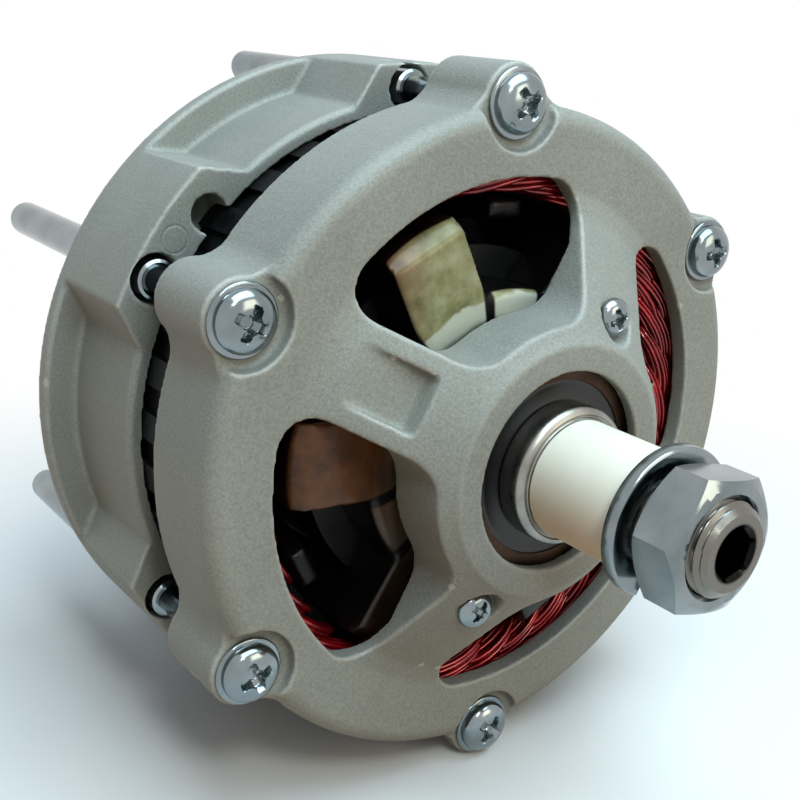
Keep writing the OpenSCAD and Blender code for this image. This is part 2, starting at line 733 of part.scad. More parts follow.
// Shaft: threaded end with a hexagon socket, journal, and a smaller rear journal
module rotor_shaft() {
    color("lightgray") along_shaft() difference() {
        rotate_extrude() polygon([[0, shaft_back], [rear_shaft_r - 0.8, shaft_back], [rear_shaft_r, shaft_back + 0.8],
            [rear_shaft_r, rear_bearing_front], [shaft_r, rear_bearing_front], [shaft_r, sleeve_front - 1],
            [thread_r, sleeve_front - 0.5], [thread_r, shaft_front - 1.4], [thread_r - 1.4, shaft_front],
            [0, shaft_front]]);
        hexagon(socket_flats, shaft_front - socket_depth, shaft_front + over);
    }
}

// One claw on the +X axis of a pole whose outer face is at z = 0 and whose claws point to -Z
module claw(tip) {
    root_in = rotor_r - claw_root_t;
    intersection() {
        rotate([90, 0, 0]) translate([0, 0, -claw_root_w]) linear_extrude(2 * claw_root_w)
            polygon([[rotor_core_r, 0], [rotor_r - claw_bevel, 0], [rotor_r + 0.2, -claw_bevel], [rotor_r + 0.2, tip],
                [rotor_r - claw_tip_t, tip], [root_in, -pole_t], [rotor_core_r, -pole_t]]);
        translate([rotor_core_r - over, 0, 0]) rotate([90, 0, 90]) linear_extrude(rotor_r)
            polygon([[-claw_root_w / 2, 0], [claw_root_w / 2, 0], [claw_root_w / 2, -pole_t * 0.6],
                [claw_tip_w / 2, tip], [-claw_tip_w / 2, tip], [-claw_root_w / 2, -pole_t * 0.6]]);
        disc(rotor_r, tip - over, over);
    }
}

module claw_pole() {
    tip = pole_back + claw_tip_gap - pole_front;
    difference() {
        union() {
            rotate_extrude() polygon([[0, -pole_t], [pole_disc_r, -pole_t], [pole_disc_r, -1], [pole_disc_r - 1, 0],
                [24.5, 0], [24, -0.8], [15, -0.8], [14.5, 0], [0, 0]]);
            around([for (i = [0:claw_count - 1]) i * 360 / claw_count]) claw(tip);
        }
        disc(shaft_r + fit, -pole_t - over, over);
    }
}

module front_pole() {
    color("darkkhaki") along_shaft() translate([0, 0, pole_front]) rotate([0, 0, 55]) claw_pole();
}

module rear_pole() {
    color("darkkhaki") along_shaft() translate([0, 0, pole_back]) mirror([0, 0, 1])
        rotate([0, 0, 55 + 180 / claw_count]) claw_pole();
}

module rotor_core() {
    color("dimgray") along_shaft() ring(rotor_core_r, shaft_r + fit, pole_back + pole_t, pole_front - pole_t);
}

module coil_bobbin() {
    back = pole_back + pole_t;
    front = pole_front - pole_t;
    color("black") along_shaft() rotate_extrude() polygon([[rotor_core_r + seat, back], [coil_r + 0.5, back],
        [coil_r + 0.5, back + bobbin_t], [rotor_core_r + bobbin_t, back + bobbin_t],
        [rotor_core_r + bobbin_t, front - bobbin_t], [coil_r + 0.5, front - bobbin_t],
        [coil_r + 0.5, front], [rotor_core_r + seat, front]]);
}

module field_coil() {
    color("sienna") along_shaft() ring(coil_r, rotor_core_r + bobbin_t, pole_back + pole_t + bobbin_t,
        pole_front - pole_t - bobbin_t);
}

module rotor_spacer() {
    color("lightgray") along_shaft() ring(shaft_r + 3.5, shaft_r + fit, pole_front, front_bearing_back);
}

module front_slip_ring() {
    color("peru") along_shaft() ring(slip_ring_r, slip_ring_r - 3, ring_a_back, ring_a_front);
}

module rear_slip_ring() {
    color("peru") along_shaft() ring(slip_ring_r, slip_ring_r - 3, ring_b_back, ring_b_front);
}

// Insulating body that carries the slip rings, with a wall between them
module slip_ring_body() {
    tube = slip_ring_r - 3 - fit;
    wall = slip_ring_r - 0.6;
    color("black") along_shaft() rotate_extrude() polygon([[shaft_r + fit, ring_b_back - 1.5], [wall, ring_b_back - 1.5],
        [wall, ring_b_back], [tube, ring_b_back], [tube, ring_b_front], [wall, ring_b_front], [wall, ring_a_back],
        [tube, ring_a_back], [tube, ring_a_front], [wall, ring_a_front], [wall, pole_back], [shaft_r + fit, pole_back]]);
}

module spacer_collar() {
    color("silver") along_shaft() rotate_extrude() polygon(concat(
        [[shaft_r + fit, front_bearing_front], [collar_r - 0.5, front_bearing_front], [collar_r, front_bearing_front + 0.5]],
        arc([collar_r - 1.2, collar_front - 1.2], 1.2, 0, 90, 4), [[shaft_r + fit, collar_front]]));
}

module shaft_sleeve() {
    color("ivory") along_shaft() rotate_extrude() polygon([[shaft_r + fit, collar_front], [sleeve_r, collar_front],
        [sleeve_r - 0.2, sleeve_front - 0.4], [sleeve_r - 0.6, sleeve_front], [shaft_r + fit, sleeve_front]]);
}

// Split spring washer: a square bar wound once round, with its ends standing apart
module lock_washer() {
    steps = 48;
    split = 12;
    r_in = thread_r + 0.4;
    rows = [for (i = [0:steps]) let (t = i / steps, a = 250 + split / 2 + (360 - split) * t, z = lock_washer_rise * (1 - t))
        [[r_in, z], [lock_washer_r, z], [lock_washer_r, z + lock_washer_t], [r_in, z + lock_washer_t], a]];
    points = [for (row = rows) for (k = [0:3]) [row[k][0] * cos(row[4]), row[k][0] * sin(row[4]), row[k][1]]];
    sides = [for (i = [0:steps - 1]) for (k = [0:3])
        [4 * i + k, 4 * i + (k + 1) % 4, 4 * i + 4 + (k + 1) % 4, 4 * i + 4 + k]];
    ends = [[3, 2, 1, 0], [4 * steps, 4 * steps + 1, 4 * steps + 2, 4 * steps + 3]];
    color("silver") along_shaft() translate([0, 0, sleeve_front]) polyhedron(points, concat(sides, ends));
}

module shaft_nut() {
    back = washer_front;
    corner = nut_flats / sqrt(3);
    color("silver") along_shaft() difference() {
        intersection() {
            rotate([0, 0, 49]) hexagon(nut_flats, back, nut_front);
            rotate_extrude() polygon([[0, back], [corner - 1.1, back], [corner + 0.1, back + 0.8],
                [corner + 0.1, nut_front - 0.8], [corner - 1.1, nut_front], [0, nut_front]]);
        }
        disc(thread_r + fit, back - over, nut_front + over);
        translate([0, 0, nut_front - 0.6]) cylinder(r1 = thread_r, r2 = thread_r + 0.8, h = 0.61);
    }
}

// A diode plate between two angles, with round holes for its diodes and screws
module diode_plate(a0, a1, diodes, screws) {
    difference() {
        translate([0, 0, plate_back]) linear_extrude(plate_t) ring_slice(plate_r_out, plate_r_in, a0, a1);
        around(diodes, diode_circle_r) disc(diode_r + fit, plate_back - over, plate_front + over);
        around(screws, diode_circle_r) disc(screw_r + 0.2, plate_back - over, plate_front + over);
    }
}

module positive_plate() {
    color("silver") along_shaft() difference() {
        diode_plate(136, 264, plus_diodes, [spacer_turn[0], spacer_turn[1]]);
        around([plus_turn], diode_circle_r) disc(plus_r - pitch_drop + fit, plate_back - over, plate_front + over);
    }
}

module negative_plate() {
    color("silver") along_shaft() diode_plate(302, 404, minus_diodes, [spacer_turn[2], spacer_turn[3]]);
}

// Pressed-in diodes: a can, a domed top and a pin up to the board
module diodes(turns) {
    around(turns, diode_circle_r) rotate_extrude($fn = 32) polygon([[0, plate_back - 1.5], [diode_r, plate_back - 1.5],
        [diode_r, plate_back - 2.5 + diode_h], [diode_r - 1.2, plate_back - 1.5 + diode_h], [0.8, plate_back - 1.5 + diode_h],
        [0.8, board_back - 0.1], [0, board_back - 0.1]]);
}

module positive_diodes() {
    color("gray") along_shaft() diodes(plus_diodes);
}

module negative_diodes() {
    color("gray") along_shaft() diodes(minus_diodes);
}

// Small exciter diodes lying on the terminal board
module exciter_diodes() {
    color("black") along_shaft() around([187, 270, 353], diode_circle_r) translate([0, 0, board_front + exciter_r])
        rotate([90, 0, 0]) cylinder(r = exciter_r, h = exciter_len, center = true, $fn = 32);
}

// Terminal board: a plastic horseshoe on four pillars
module terminal_board() {
    color("darkslategray") along_shaft() difference() {
        union() {
            translate([0, 0, board_back]) linear_extrude(board_t) ring_slice(plate_r_out - 1, plate_r_in + 1, 136, 404);
            around(spacer_turn, diode_circle_r) disc(pillar_r, plate_front, board_back);
        }
        around(spacer_turn, diode_circle_r) disc(screw_r + 0.2, plate_front - over, board_front + over);
        around([field_turn], diode_circle_r) disc(field_r - pitch_drop + fit, plate_front - over, board_front + over);
    }
}

module rectifier_spacers() {
    color("tan") along_shaft() around(spacer_turn, diode_circle_r) ring(pillar_r, screw_r + 0.1, end_wall_in, plate_back);
}

// Head of a small screw, seated at z = 0 and standing out towards -Z
module screw_head() {
    disc(screw_head_r, -1.4, 0);
    translate([0, 0, -screw_head_h]) cylinder(r1 = screw_head_r - 0.8, r2 = screw_head_r, h = screw_head_h - 1.4);
}

module rectifier_screws() {
    color("silver") along_shaft() around(spacer_turn, diode_circle_r) {
        disc(screw_r, cup_back, board_front + 0.5);
        translate([0, 0, cup_back]) screw_head();
    }
}

// Insulated terminal: its bush, its stud and its nut. Inside the nut a thread has its pitch radius.
bush_back = cup_back - bush_t;
nut_seat = bush_back - terminal_washer_t;
nut_back = nut_seat - terminal_nut_t;

module terminal_bush(r, top) {
    difference() {
        union() {
            disc(r + 3, cup_back, end_wall_in);
            disc(r + 5, bush_back, cup_back);
            disc(r + 4.5, end_wall_in, top);
        }
        disc(r - pitch_drop + fit, bush_back - over, top + over);
    }
}

module terminal_stud(r, top) {
    disc(r, nut_back - terminal_out + 0.8, nut_back);
    disc(r - pitch_drop, nut_back, top);
    translate([0, 0, nut_back - terminal_out]) cylinder(r1 = r - 0.8, r2 = r, h = 0.8);
    hexagon(r * 3.3, top, top + r);
}

module terminal_nut(r) {
    difference() {
        union() {
            hexagon(r * 3.3, nut_back, nut_seat);
            disc(r * 2, nut_seat, bush_back);
        }
        disc(r - pitch_drop + fit, nut_back - over, bush_back + over);
    }
}

module plus_stud() {
    color("gold") along_shaft() around([plus_turn], diode_circle_r) terminal_stud(plus_r, plate_front);
}

module plus_insulator() {
    color("black") along_shaft() around([plus_turn], diode_circle_r) terminal_bush(plus_r, plate_back);
}

module plus_nut() {
    color("gold") along_shaft() around([plus_turn], diode_circle_r) terminal_nut(plus_r);
}

module field_stud() {
    color("gold") along_shaft() around([field_turn], diode_circle_r) terminal_stud(field_r, board_front);
}

module field_insulator() {
    color("black") along_shaft() around([field_turn], diode_circle_r) terminal_bush(field_r, board_back);
}

module field_nut() {
    color("gold") along_shaft() around([field_turn], diode_circle_r) terminal_nut(field_r);
}

// Brush holder sizes: the box over the slip rings, its neck and its outer plate
brush_foot = slip_ring_r + 0.3;
brush_back = brush_foot + brush_len;
pocket_top = brush_back + spring_len;
holder_top = pocket_top + 1.6;
holder_foot = slip_ring_r + 1.6;
holder_x = brush_w / 2 + 4.5;
neck_x = brush_w / 2 + 3;
neck_y0 = rear_hub_r + 1.2;
ear_x = regulator_w / 2 + 6.5;
ear_y = neck_y0 + 11;
brush_a = (ring_a_front + ring_a_back) / 2;
brush_b = (ring_b_front + ring_b_back) / 2;

module brush_holder() {
    color("black") along_shaft() difference() {
        union() {
            block([-holder_x, holder_x], [holder_foot, holder_top], [ring_b_back - 2, ring_a_front + 1.4]);
            block([-neck_x, neck_x], [neck_y0, holder_top], [cup_back - holder_plate_t, ring_b_back - 2]);
            block([-regulator_w / 2, regulator_w / 2], [neck_y0, neck_y0 + 22], [cup_back - holder_plate_t, cup_back]);
            for (s = [-1, 1]) translate([s * ear_x, ear_y, 0]) disc(5, cup_back - holder_plate_t, cup_back);
            block([-ear_x, ear_x], [ear_y - 5, ear_y + 5], [cup_back - holder_plate_t, cup_back]);
        }
        for (z = [brush_a, brush_b])
            block([-brush_w / 2 - slip, brush_w / 2 + slip], [holder_foot - over, pocket_top],
                [z - brush_t / 2 - slip, z + brush_t / 2 + slip]);
        for (s = [-1, 1]) translate([s * ear_x, ear_y, 0]) disc(screw_r + 0.2, cup_back - holder_plate_t - over, cup_back + over);
    }
}

// Carbon brush with its foot hollowed to the ring
module brush(z) {
    difference() {
        block([-brush_w / 2, brush_w / 2], [brush_foot - 2, brush_back], [z - brush_t / 2, z + brush_t / 2]);
        disc(brush_foot, z - brush_t, z + brush_t);
    }
}

module front_brush() {
    color("dimgray") along_shaft() brush(brush_a);
}

module rear_brush() {
    color("dimgray") along_shaft() brush(brush_b);
}

// Coil spring between a brush and the top of its pocket, swept as a six-sided wire along a helix
module brush_spring(z) {
    turns = 5;
    per_turn = 12;
    wire_r = 0.3;
    coil = brush_t / 2 - 0.5;
    start = brush_back + wire_r + 0.05;
    rise = spring_len - 2 * wire_r - 0.1;
    last = turns * per_turn;
    points = [for (i = [0:last]) let (a = 360 * i / per_turn, h = start + rise * i / last)
        for (k = [0:5]) let (d = coil + wire_r * cos(60 * k)) [d * cos(a), h + wire_r * sin(60 * k), z + d * sin(a)]];
    sides = [for (i = [0:last - 1]) for (k = [0:5])
        [6 * i + k, 6 * i + (k + 1) % 6, 6 * i + 6 + (k + 1) % 6, 6 * i + 6 + k]];
    ends = [[5, 4, 3, 2, 1, 0], [for (k = [0:5]) 6 * last + k]];
    polyhedron(points, concat(sides, ends));
}

module front_brush_spring() {
    color("silver") along_shaft() brush_spring(brush_a);
}

module rear_brush_spring() {
    color("silver") along_shaft() brush_spring(brush_b);
}

// Regulator: a finned block on the brush holder's outer plate
module regulator() {
    top = cup_back - holder_plate_t;
    color("darkgray") along_shaft() difference() {
        block([-regulator_w / 2 + 1, regulator_w / 2 - 1], [neck_y0 + 1, neck_y0 + 21], [top - regulator_t, top]);
        for (i = [-2:2]) translate([i * 4.6, 0, 0])
            block([-1.2, 1.2], [neck_y0, neck_y0 + 22], [top - regulator_t - over, top - regulator_t + 3]);
    }
}

module regulator_screws() {
    top = cup_back - holder_plate_t;
    color("silver") along_shaft() for (s = [-1, 1]) translate([s * ear_x, ear_y, 0]) {
        disc(screw_r, top, end_wall_in - 0.5);
        translate([0, 0, top]) screw_head();
    }
}

// Three leads from the end turns down to the terminal board
module phase_leads() {
    wire = 0.9;
    bend = 2;
    top = [core_bore + 5, stack_back - end_turn_h];
    foot = plate_r_out - 3;
    level = (top[1] + board_front) / 2;
    color("firebrick") along_shaft() around([160, 200, 230]) {
        translate([top[0], 0, 0]) disc(wire, level + bend, top[1]);
        translate([foot, 0, 0]) disc(wire, board_front, level - bend);
        translate([foot + bend, 0, level]) rotate([0, 90, 0])
            cylinder(r = wire, h = top[0] - foot - 2 * bend, $fn = 32);
        for (corner = [[top[0] - bend, level + bend, 270], [foot + bend, level - bend, 90]])
            translate([corner[0], 0, corner[1]]) rotate([90, 0, 0]) rotate([0, 0, corner[2]])
                rotate_extrude(angle = 90) translate([bend, 0]) circle(wire, $fn = 32);
    }
}

front_bracket();
rear_bracket();
stator_core();
stator_winding();
through_bolts();
bolt_washers();
rear_studs();
bearing_retainer();
retainer_screws();
front_bearing_outer_race();
front_bearing_inner_race();
front_bearing_balls();
front_bearing_cage();
front_bearing_seals();
rear_bearing_outer_race();
rear_bearing_inner_race();
rear_bearing_balls();
rear_bearing_cage();
rear_bearing_seals();
rear_bearing_sleeve();
rotor_shaft();
front_pole();
rear_pole();
rotor_core();
coil_bobbin();
field_coil();
rotor_spacer();
front_slip_ring();
rear_slip_ring();
slip_ring_body();
spacer_collar();
shaft_sleeve();
lock_washer();
shaft_nut();
positive_plate();
negative_plate();
positive_diodes();
negative_diodes();
exciter_diodes();
terminal_board();
rectifier_spacers();
rectifier_screws();
plus_stud();
plus_insulator();
plus_nut();
field_stud();
field_insulator();
field_nut();
brush_holder();
front_brush();
rear_brush();
front_brush_spring();
rear_brush_spring();
regulator();
regulator_screws();
phase_leads();
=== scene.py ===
# %% [markdown]
# # A claw-pole alternator, dressed for its portrait
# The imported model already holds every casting, bolt and bearing at its real size. This lesson loads it as a fixed
# frame, gives the castings the soft edges of a real casting, swaps a few plain solids for finer ones worked out with
# numpy, and gives every surface a finish made from nodes.

# %% Load the frame
import json

import bmesh
import bpy
import numpy as np
from mathutils import Matrix, Vector

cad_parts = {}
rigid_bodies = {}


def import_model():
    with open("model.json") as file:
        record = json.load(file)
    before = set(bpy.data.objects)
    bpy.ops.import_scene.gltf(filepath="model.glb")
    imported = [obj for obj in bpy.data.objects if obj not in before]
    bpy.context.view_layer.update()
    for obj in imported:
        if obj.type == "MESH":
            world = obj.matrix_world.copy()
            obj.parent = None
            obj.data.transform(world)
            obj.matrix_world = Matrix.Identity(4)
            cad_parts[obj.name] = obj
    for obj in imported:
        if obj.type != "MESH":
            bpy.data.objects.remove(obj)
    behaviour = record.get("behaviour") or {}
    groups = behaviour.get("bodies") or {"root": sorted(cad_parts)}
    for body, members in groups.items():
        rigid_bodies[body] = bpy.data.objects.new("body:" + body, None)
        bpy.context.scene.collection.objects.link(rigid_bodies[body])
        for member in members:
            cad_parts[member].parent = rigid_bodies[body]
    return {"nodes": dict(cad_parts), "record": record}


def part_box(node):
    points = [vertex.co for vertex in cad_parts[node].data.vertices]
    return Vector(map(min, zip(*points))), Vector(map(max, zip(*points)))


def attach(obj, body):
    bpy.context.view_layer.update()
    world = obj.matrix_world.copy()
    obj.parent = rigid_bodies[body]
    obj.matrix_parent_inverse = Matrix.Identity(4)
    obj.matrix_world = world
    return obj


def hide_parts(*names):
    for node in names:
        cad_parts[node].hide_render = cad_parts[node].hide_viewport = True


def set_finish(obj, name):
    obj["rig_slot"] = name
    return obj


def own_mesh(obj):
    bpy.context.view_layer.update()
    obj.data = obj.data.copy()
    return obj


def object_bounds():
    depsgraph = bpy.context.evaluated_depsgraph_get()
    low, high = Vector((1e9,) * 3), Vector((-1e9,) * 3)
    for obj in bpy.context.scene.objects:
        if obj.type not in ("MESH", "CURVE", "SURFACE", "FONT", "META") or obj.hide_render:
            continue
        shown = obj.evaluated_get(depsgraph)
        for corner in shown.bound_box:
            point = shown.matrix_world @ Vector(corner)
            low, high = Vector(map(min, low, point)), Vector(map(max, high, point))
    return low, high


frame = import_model()
cad_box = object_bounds()
nodes = frame["nodes"]

# %% [markdown]
# ## The stations along the shaft
# All the pieces are drawn in millimetres with the shaft along Z and the drive end upwards, which is how a lathe hand
# thinks of them. One function then lays them down, so that the drive end points along -Y as it does in the frame.

# %% Lengths and the turn onto the shaft
MM = 0.001
CORE_MIDDLE, CORE_HALF = 34.25, 12.5
SPOT_FACE, HUB_FACE = 58.3, 76.8
WASHER_HEIGHT, WASHER_BORE = 0.9, 2.6
COLLAR_BACK, SLEEVE_BACK, SLEEVE_FRONT = 74.0, 79.6, 98.5
NUT_BACK, NUT_FRONT, SHAFT_END = 103.6, 112.6, 114.9
JOURNAL_R, JOURNAL_BORE, THREAD_R = 8.5, 8.52, 8.0
CLEARANCE = 0.02  # between a thread and what stands on it
BOLT_CIRCLE, RETAINER_CIRCLE, RECTIFIER_CIRCLE = 62.5, 29.2, 37.0
BOLT_TURNS = np.radians(30 + 60 * np.arange(6))


def along_shaft(points):
    """Millimetres (x, y, z) with z along the shaft become metres (x, -z, y), the frame's own axes."""
    x, y, z = np.moveaxis(np.asarray(points, float), -1, 0)
    return np.stack([x, -z, y], axis=-1) * MM


def on_circle(radius, turns):
    """Points on a circle round the shaft: radius times cosine and sine of each angle."""
    return [(radius * np.cos(t), radius * np.sin(t)) for t in turns]


def angles_from(turn, count):
    """Even angles all the way round that start at turn, as a column."""
    return turn + np.linspace(0, 2 * np.pi, count, endpoint=False)[:, None]


def rings(theta, r, z, centre=(0.0, 0.0)):
    """Points from angles, radii and heights, round an axis through centre."""
    x, y = r * np.cos(theta) + centre[0], r * np.sin(theta) + centre[1]
    return np.stack([x, y, np.broadcast_to(z, x.shape)], axis=-1)


print("shaft end at", along_shaft((0, 0, SHAFT_END)), "m")

# %% [markdown]
# ## From a grid of points to a mesh
# A surface with two parameters is a grid: one parameter runs round, the other runs along. The faces of a grid follow
# from its row and column numbers alone, so numpy can write them all at once. Where a grid closes at a pole its points
# coincide, and merging them closes the surface.

# %% Grid to mesh
MERGE = 2e-6  # metres: corners closer than this are one corner


def grid_faces(rows, columns, round_rows, round_columns, start=0):
    """Corner numbers of each square of a grid, wrapping where the grid closes on itself."""
    i, j = np.meshgrid(np.arange(rows - (not round_rows)), np.arange(columns - (not round_columns)), indexing="ij")
    k, m = (i + 1) % rows, (j + 1) % columns
    corners = np.stack([i * columns + j, k * columns + j, k * columns + m, i * columns + m], axis=-1)
    return corners.reshape(-1, 4) + start


def link(name, data):
    """Makes an object of a mesh, lamp or camera and links it into the scene."""
    thing = bpy.data.objects.new(name, data)
    bpy.context.scene.collection.objects.link(thing)
    return thing


def place_piece(name, mesh, body, slot, instead_of):
    """Links a mesh into the scene, names its body and its finish, and hides the CAD nodes that it stands for."""
    thing = link(name, mesh)
    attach(thing, body)
    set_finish(thing, slot)
    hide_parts(*instead_of)
    return thing


def mesh_of(name, points, faces):
    """A mesh of four-cornered faces, filled from whole arrays."""
    mesh = bpy.data.meshes.new(name)
    mesh.vertices.add(len(points))
    mesh.vertices.foreach_set("co", points.ravel())
    mesh.loops.add(faces.size)
    mesh.loops.foreach_set("vertex_index", faces.ravel())
    mesh.polygons.add(len(faces))
    mesh.polygons.foreach_set("loop_start", np.arange(len(faces)) * 4)
    mesh.update(calc_edges=True)
    return mesh


def piece(name, grids, body, slot, instead_of, sharp=35.0):
    """Joins grids (points, rows closed, columns closed), merges what coincides, and smooths angles below sharp."""
    points, faces, start = [], [], 0
    for grid, round_rows, round_columns in grids:
        rows, columns = grid.shape[:2]
        points.append(along_shaft(grid).reshape(-1, 3))
        faces.append(grid_faces(rows, columns, round_rows, round_columns, start))
        start += rows * columns
    mesh = mesh_of(name, np.vstack(points), np.vstack(faces))
    work = bmesh.new()
    work.from_mesh(mesh)
    bmesh.ops.remove_doubles(work, verts=work.verts, dist=MERGE)
    bmesh.ops.dissolve_degenerate(work, edges=work.edges, dist=1e-7)
    bmesh.ops.recalc_face_normals(work, faces=work.faces)
    for face in work.faces:
        face.smooth = True
    limit = float(np.radians(sharp))
    for edge in work.edges:
        edge.smooth = len(edge.link_faces) == 2 and edge.calc_face_angle(0) < limit
    open_edges = sum(len(edge.link_faces) != 2 for edge in work.edges)
    work.to_mesh(mesh)
    work.free()
    print(name, "faces:", len(mesh.polygons), "open edges:", open_edges)
    return place_piece(name, mesh, body, slot, instead_of)


# %% [markdown]
# ## Castings without a knife edge
# A die casting has no sharp edges: the tool needs a radius everywhere, hollow corners fill, and blasting rounds what
# is left. A Bevel modifier would do for a box, but on walls that cross at every angle it tears. So a copy of the solid
# is wrapped in a fresh net of even squares (Remesh), the net is averaged with its neighbours a few times, which rounds
# bumps and fills hollows alike, and then thinned. What comes out is kept as a plain mesh.

# %% Wrapped and averaged copies of solids
def merged_copy(node):
    """An editable copy of a CAD solid whose facets share their corners."""
    work = bmesh.new()
    work.from_mesh(nodes[node].data)
    bmesh.ops.remove_doubles(work, verts=work.verts, dist=MERGE)
    return work


def cast_skin(node, body, slot, square, rounds, most):
    """A solid's copy wrapped in squares of so many millimetres, averaged, and thinned to at most so many triangles."""
    work = merged_copy(node)
    mesh = bpy.data.meshes.new(node + "_copy")
    work.to_mesh(mesh)
    work.free()
    copy = link(node + "_copy", mesh)
    net = copy.modifiers.new("net", "REMESH")
    net.mode, net.voxel_size = "VOXEL", square * MM
    average = copy.modifiers.new("average", "SMOOTH")
    average.factor, average.iterations = 0.5, rounds
    squares = len(copy.evaluated_get(bpy.context.evaluated_depsgraph_get()).data.polygons)
    thin = copy.modifiers.new("thin", "DECIMATE")
    thin.ratio = min(1.0, most / (2 * squares))
    skin = bpy.data.meshes.new_from_object(copy.evaluated_get(bpy.context.evaluated_depsgraph_get()))
    bpy.data.objects.remove(copy)
    skin.name = node + "_skin"
    skin.polygons.foreach_set("use_smooth", np.ones(len(skin.polygons), bool))
    print(node, "squares:", squares, "kept faces:", len(skin.polygons))
    place_piece(node + "_skin", skin, body, slot, [node])


cast_skin("front_bracket", "housing", "cast_aluminium", square=0.45, rounds=8, most=190000)
cast_skin("rear_bracket", "housing", "cast_aluminium", square=0.5, rounds=5, most=190000)
cast_skin("front_pole", "rotor", "pole_steel", square=0.5, rounds=4, most=120000)
cast_skin("rear_pole", "rotor", "pole_steel", square=0.6, rounds=3, most=90000)

# %% [markdown]
# ## Small moulded and pressed pieces
# Plastic and sheet-metal pieces are simple shapes, so there a Bevel modifier is the right tool: the flat facets are
# joined first, each edge sharper than 32 degrees gets a small round, and Weighted Normal keeps the flats flat.

# %% Bevelled copies of solids
FLAT_ANGLE, EDGE_ANGLE = np.radians(0.6), np.radians(32)


def bevelled(node, slot, width):
    """A CAD solid's copy with every sharp edge rounded to width millimetres."""
    work = merged_copy(node)
    bmesh.ops.dissolve_limit(work, angle_limit=FLAT_ANGLE, verts=work.verts, edges=work.edges)
    bmesh.ops.recalc_face_normals(work, faces=work.faces)
    for face in work.faces:
        face.smooth = True
    mesh = bpy.data.meshes.new(node + "_soft")
    work.to_mesh(mesh)
    work.free()
    thing = place_piece(node + "_soft", mesh, "housing", slot, [node])
    bevel = thing.modifiers.new("edge", "BEVEL")
    bevel.width, bevel.segments = width * MM, 2
    bevel.limit_method, bevel.angle_limit = "ANGLE", EDGE_ANGLE
    bevel.use_clamp_overlap = True
    thing.modifiers.new("flat", "WEIGHTED_NORMAL").keep_sharp = True
    return thing


for node, slot, width in (
        ("brush_holder", "black_plastic", 0.35), ("regulator", "regulator_case", 0.4),
        ("terminal_board", "board_plastic", 0.3), ("positive_plate", "plate_aluminium", 0.3),
        ("negative_plate", "plate_aluminium", 0.3), ("bearing_retainer", "zinc_steel", 0.3)):
    print(bevelled(node, slot, width).name, "edge", width, "mm")

# %% [markdown]
# ## Pan heads with a cross recess
# Every screw on the machine is a zinc-plated pan head. A Boolean cut would leave slivers round the recess, so the head
# is a dome over a polar grid, and the recess is a depth taken from it: two crossed slots with sloping walls, deepest
# in the middle. Nobody lines screws up, so each head is turned its own way.

# %% Screws
def cross_depth(x, y, half_length, half_width, depth):
    """Depth of a cross recess: each arm is a slot with sloping sides, and the deeper of the two arms counts."""
    def arm(s, t):
        side = np.clip((half_width - np.abs(t)) / (0.3 * half_width) + 1, 0, 1)
        end = np.clip((half_length - np.abs(s)) / (0.3 * half_length) + 0.4, 0, 1)
        return depth * side * end * (1 - 0.4 * np.abs(s) / half_length)
    middle = depth * np.clip((2.0 * half_width - np.hypot(x, y)) / half_width + 0.6, 0, 1)
    return np.maximum(np.maximum(arm(x, y), arm(y, x)), middle)


def screw(centre, turn, seat, facing, head_r, head_h, shank_r, shank_len, count=96):
    """Rings from the middle of the head out over its dome (a superellipse), under the head and down the shank."""
    theta = angles_from(0, count)
    inner, outer = np.linspace(0, 0.64, 42), np.sin(np.linspace(0.69, np.pi / 2, 22))
    r = np.concatenate([inner * head_r, outer * head_r])[None, :]
    power = 2.6
    dome = 0.92 * head_h * (1 - (r / head_r) ** power) ** (1 / power)
    x, y = r * np.cos(theta), r * np.sin(theta)
    c, s = np.cos(turn), np.sin(turn)
    cut = cross_depth(c * x + s * y, c * y - s * x,
        half_length=0.52 * head_r, half_width=0.125 * head_r, depth=0.74 * head_h)
    z = np.where(r > 0.66 * head_r, dome, dome - cut)
    below = np.array([[head_r, 0], [shank_r, 0], [shank_r, 0.4 - shank_len], [shank_r - 0.4, -shank_len],
                      [0, -shank_len]])
    rr = np.concatenate([np.broadcast_to(r, x.shape), np.broadcast_to(below[:, 0], (count, 5))], axis=1)
    zz = np.concatenate([z, np.broadcast_to(below[:, 1], (count, 5))], axis=1)
    return rings(theta, rr, seat + facing * zz, centre), True, False


def screw_set(name, node, centres, turns, seat, facing, **sizes):
    """A whole set of equal screws as one piece, seated at one height and facing forwards (1) or back (-1)."""
    grids = [screw(centre, turn, seat, facing, **sizes) for centre, turn in zip(centres, turns)]
    piece(name, grids, "housing", "zinc_steel", [node], 50)


screw_set("through_bolt_set", "through_bolts", on_circle(BOLT_CIRCLE, BOLT_TURNS), np.radians([8, 35, 62, 20, 50, 75]),
    seat=SPOT_FACE + WASHER_HEIGHT, facing=1, head_r=5.4, head_h=3.1, shank_r=2.5, shank_len=39.2)
screw_set("retainer_screw_set", "retainer_screws", on_circle(RETAINER_CIRCLE, np.radians([60, 240])), (0.3, 0.9),
    seat=HUB_FACE - 5.7, facing=1, head_r=3.7, head_h=2.6, shank_r=2.0, shank_len=11.4)
screw_set("rectifier_screw_set", "rectifier_screws",
    on_circle(RECTIFIER_CIRCLE, np.radians([168.5, 205.5, 334.5, 371.5])), (0.2, 0.7, 1.1, 0.5),
    seat=-24.5, facing=-1, head_r=3.8, head_h=2.4, shank_r=2.0, shank_len=27.5)
screw_set("regulator_screw_set", "regulator_screws", [(-20.0, 35.74), (20.0, 35.74)], (0.4, 0.9),
    seat=-27.5, facing=-1, head_r=3.8, head_h=2.4, shank_r=2.0, shank_len=6.0)

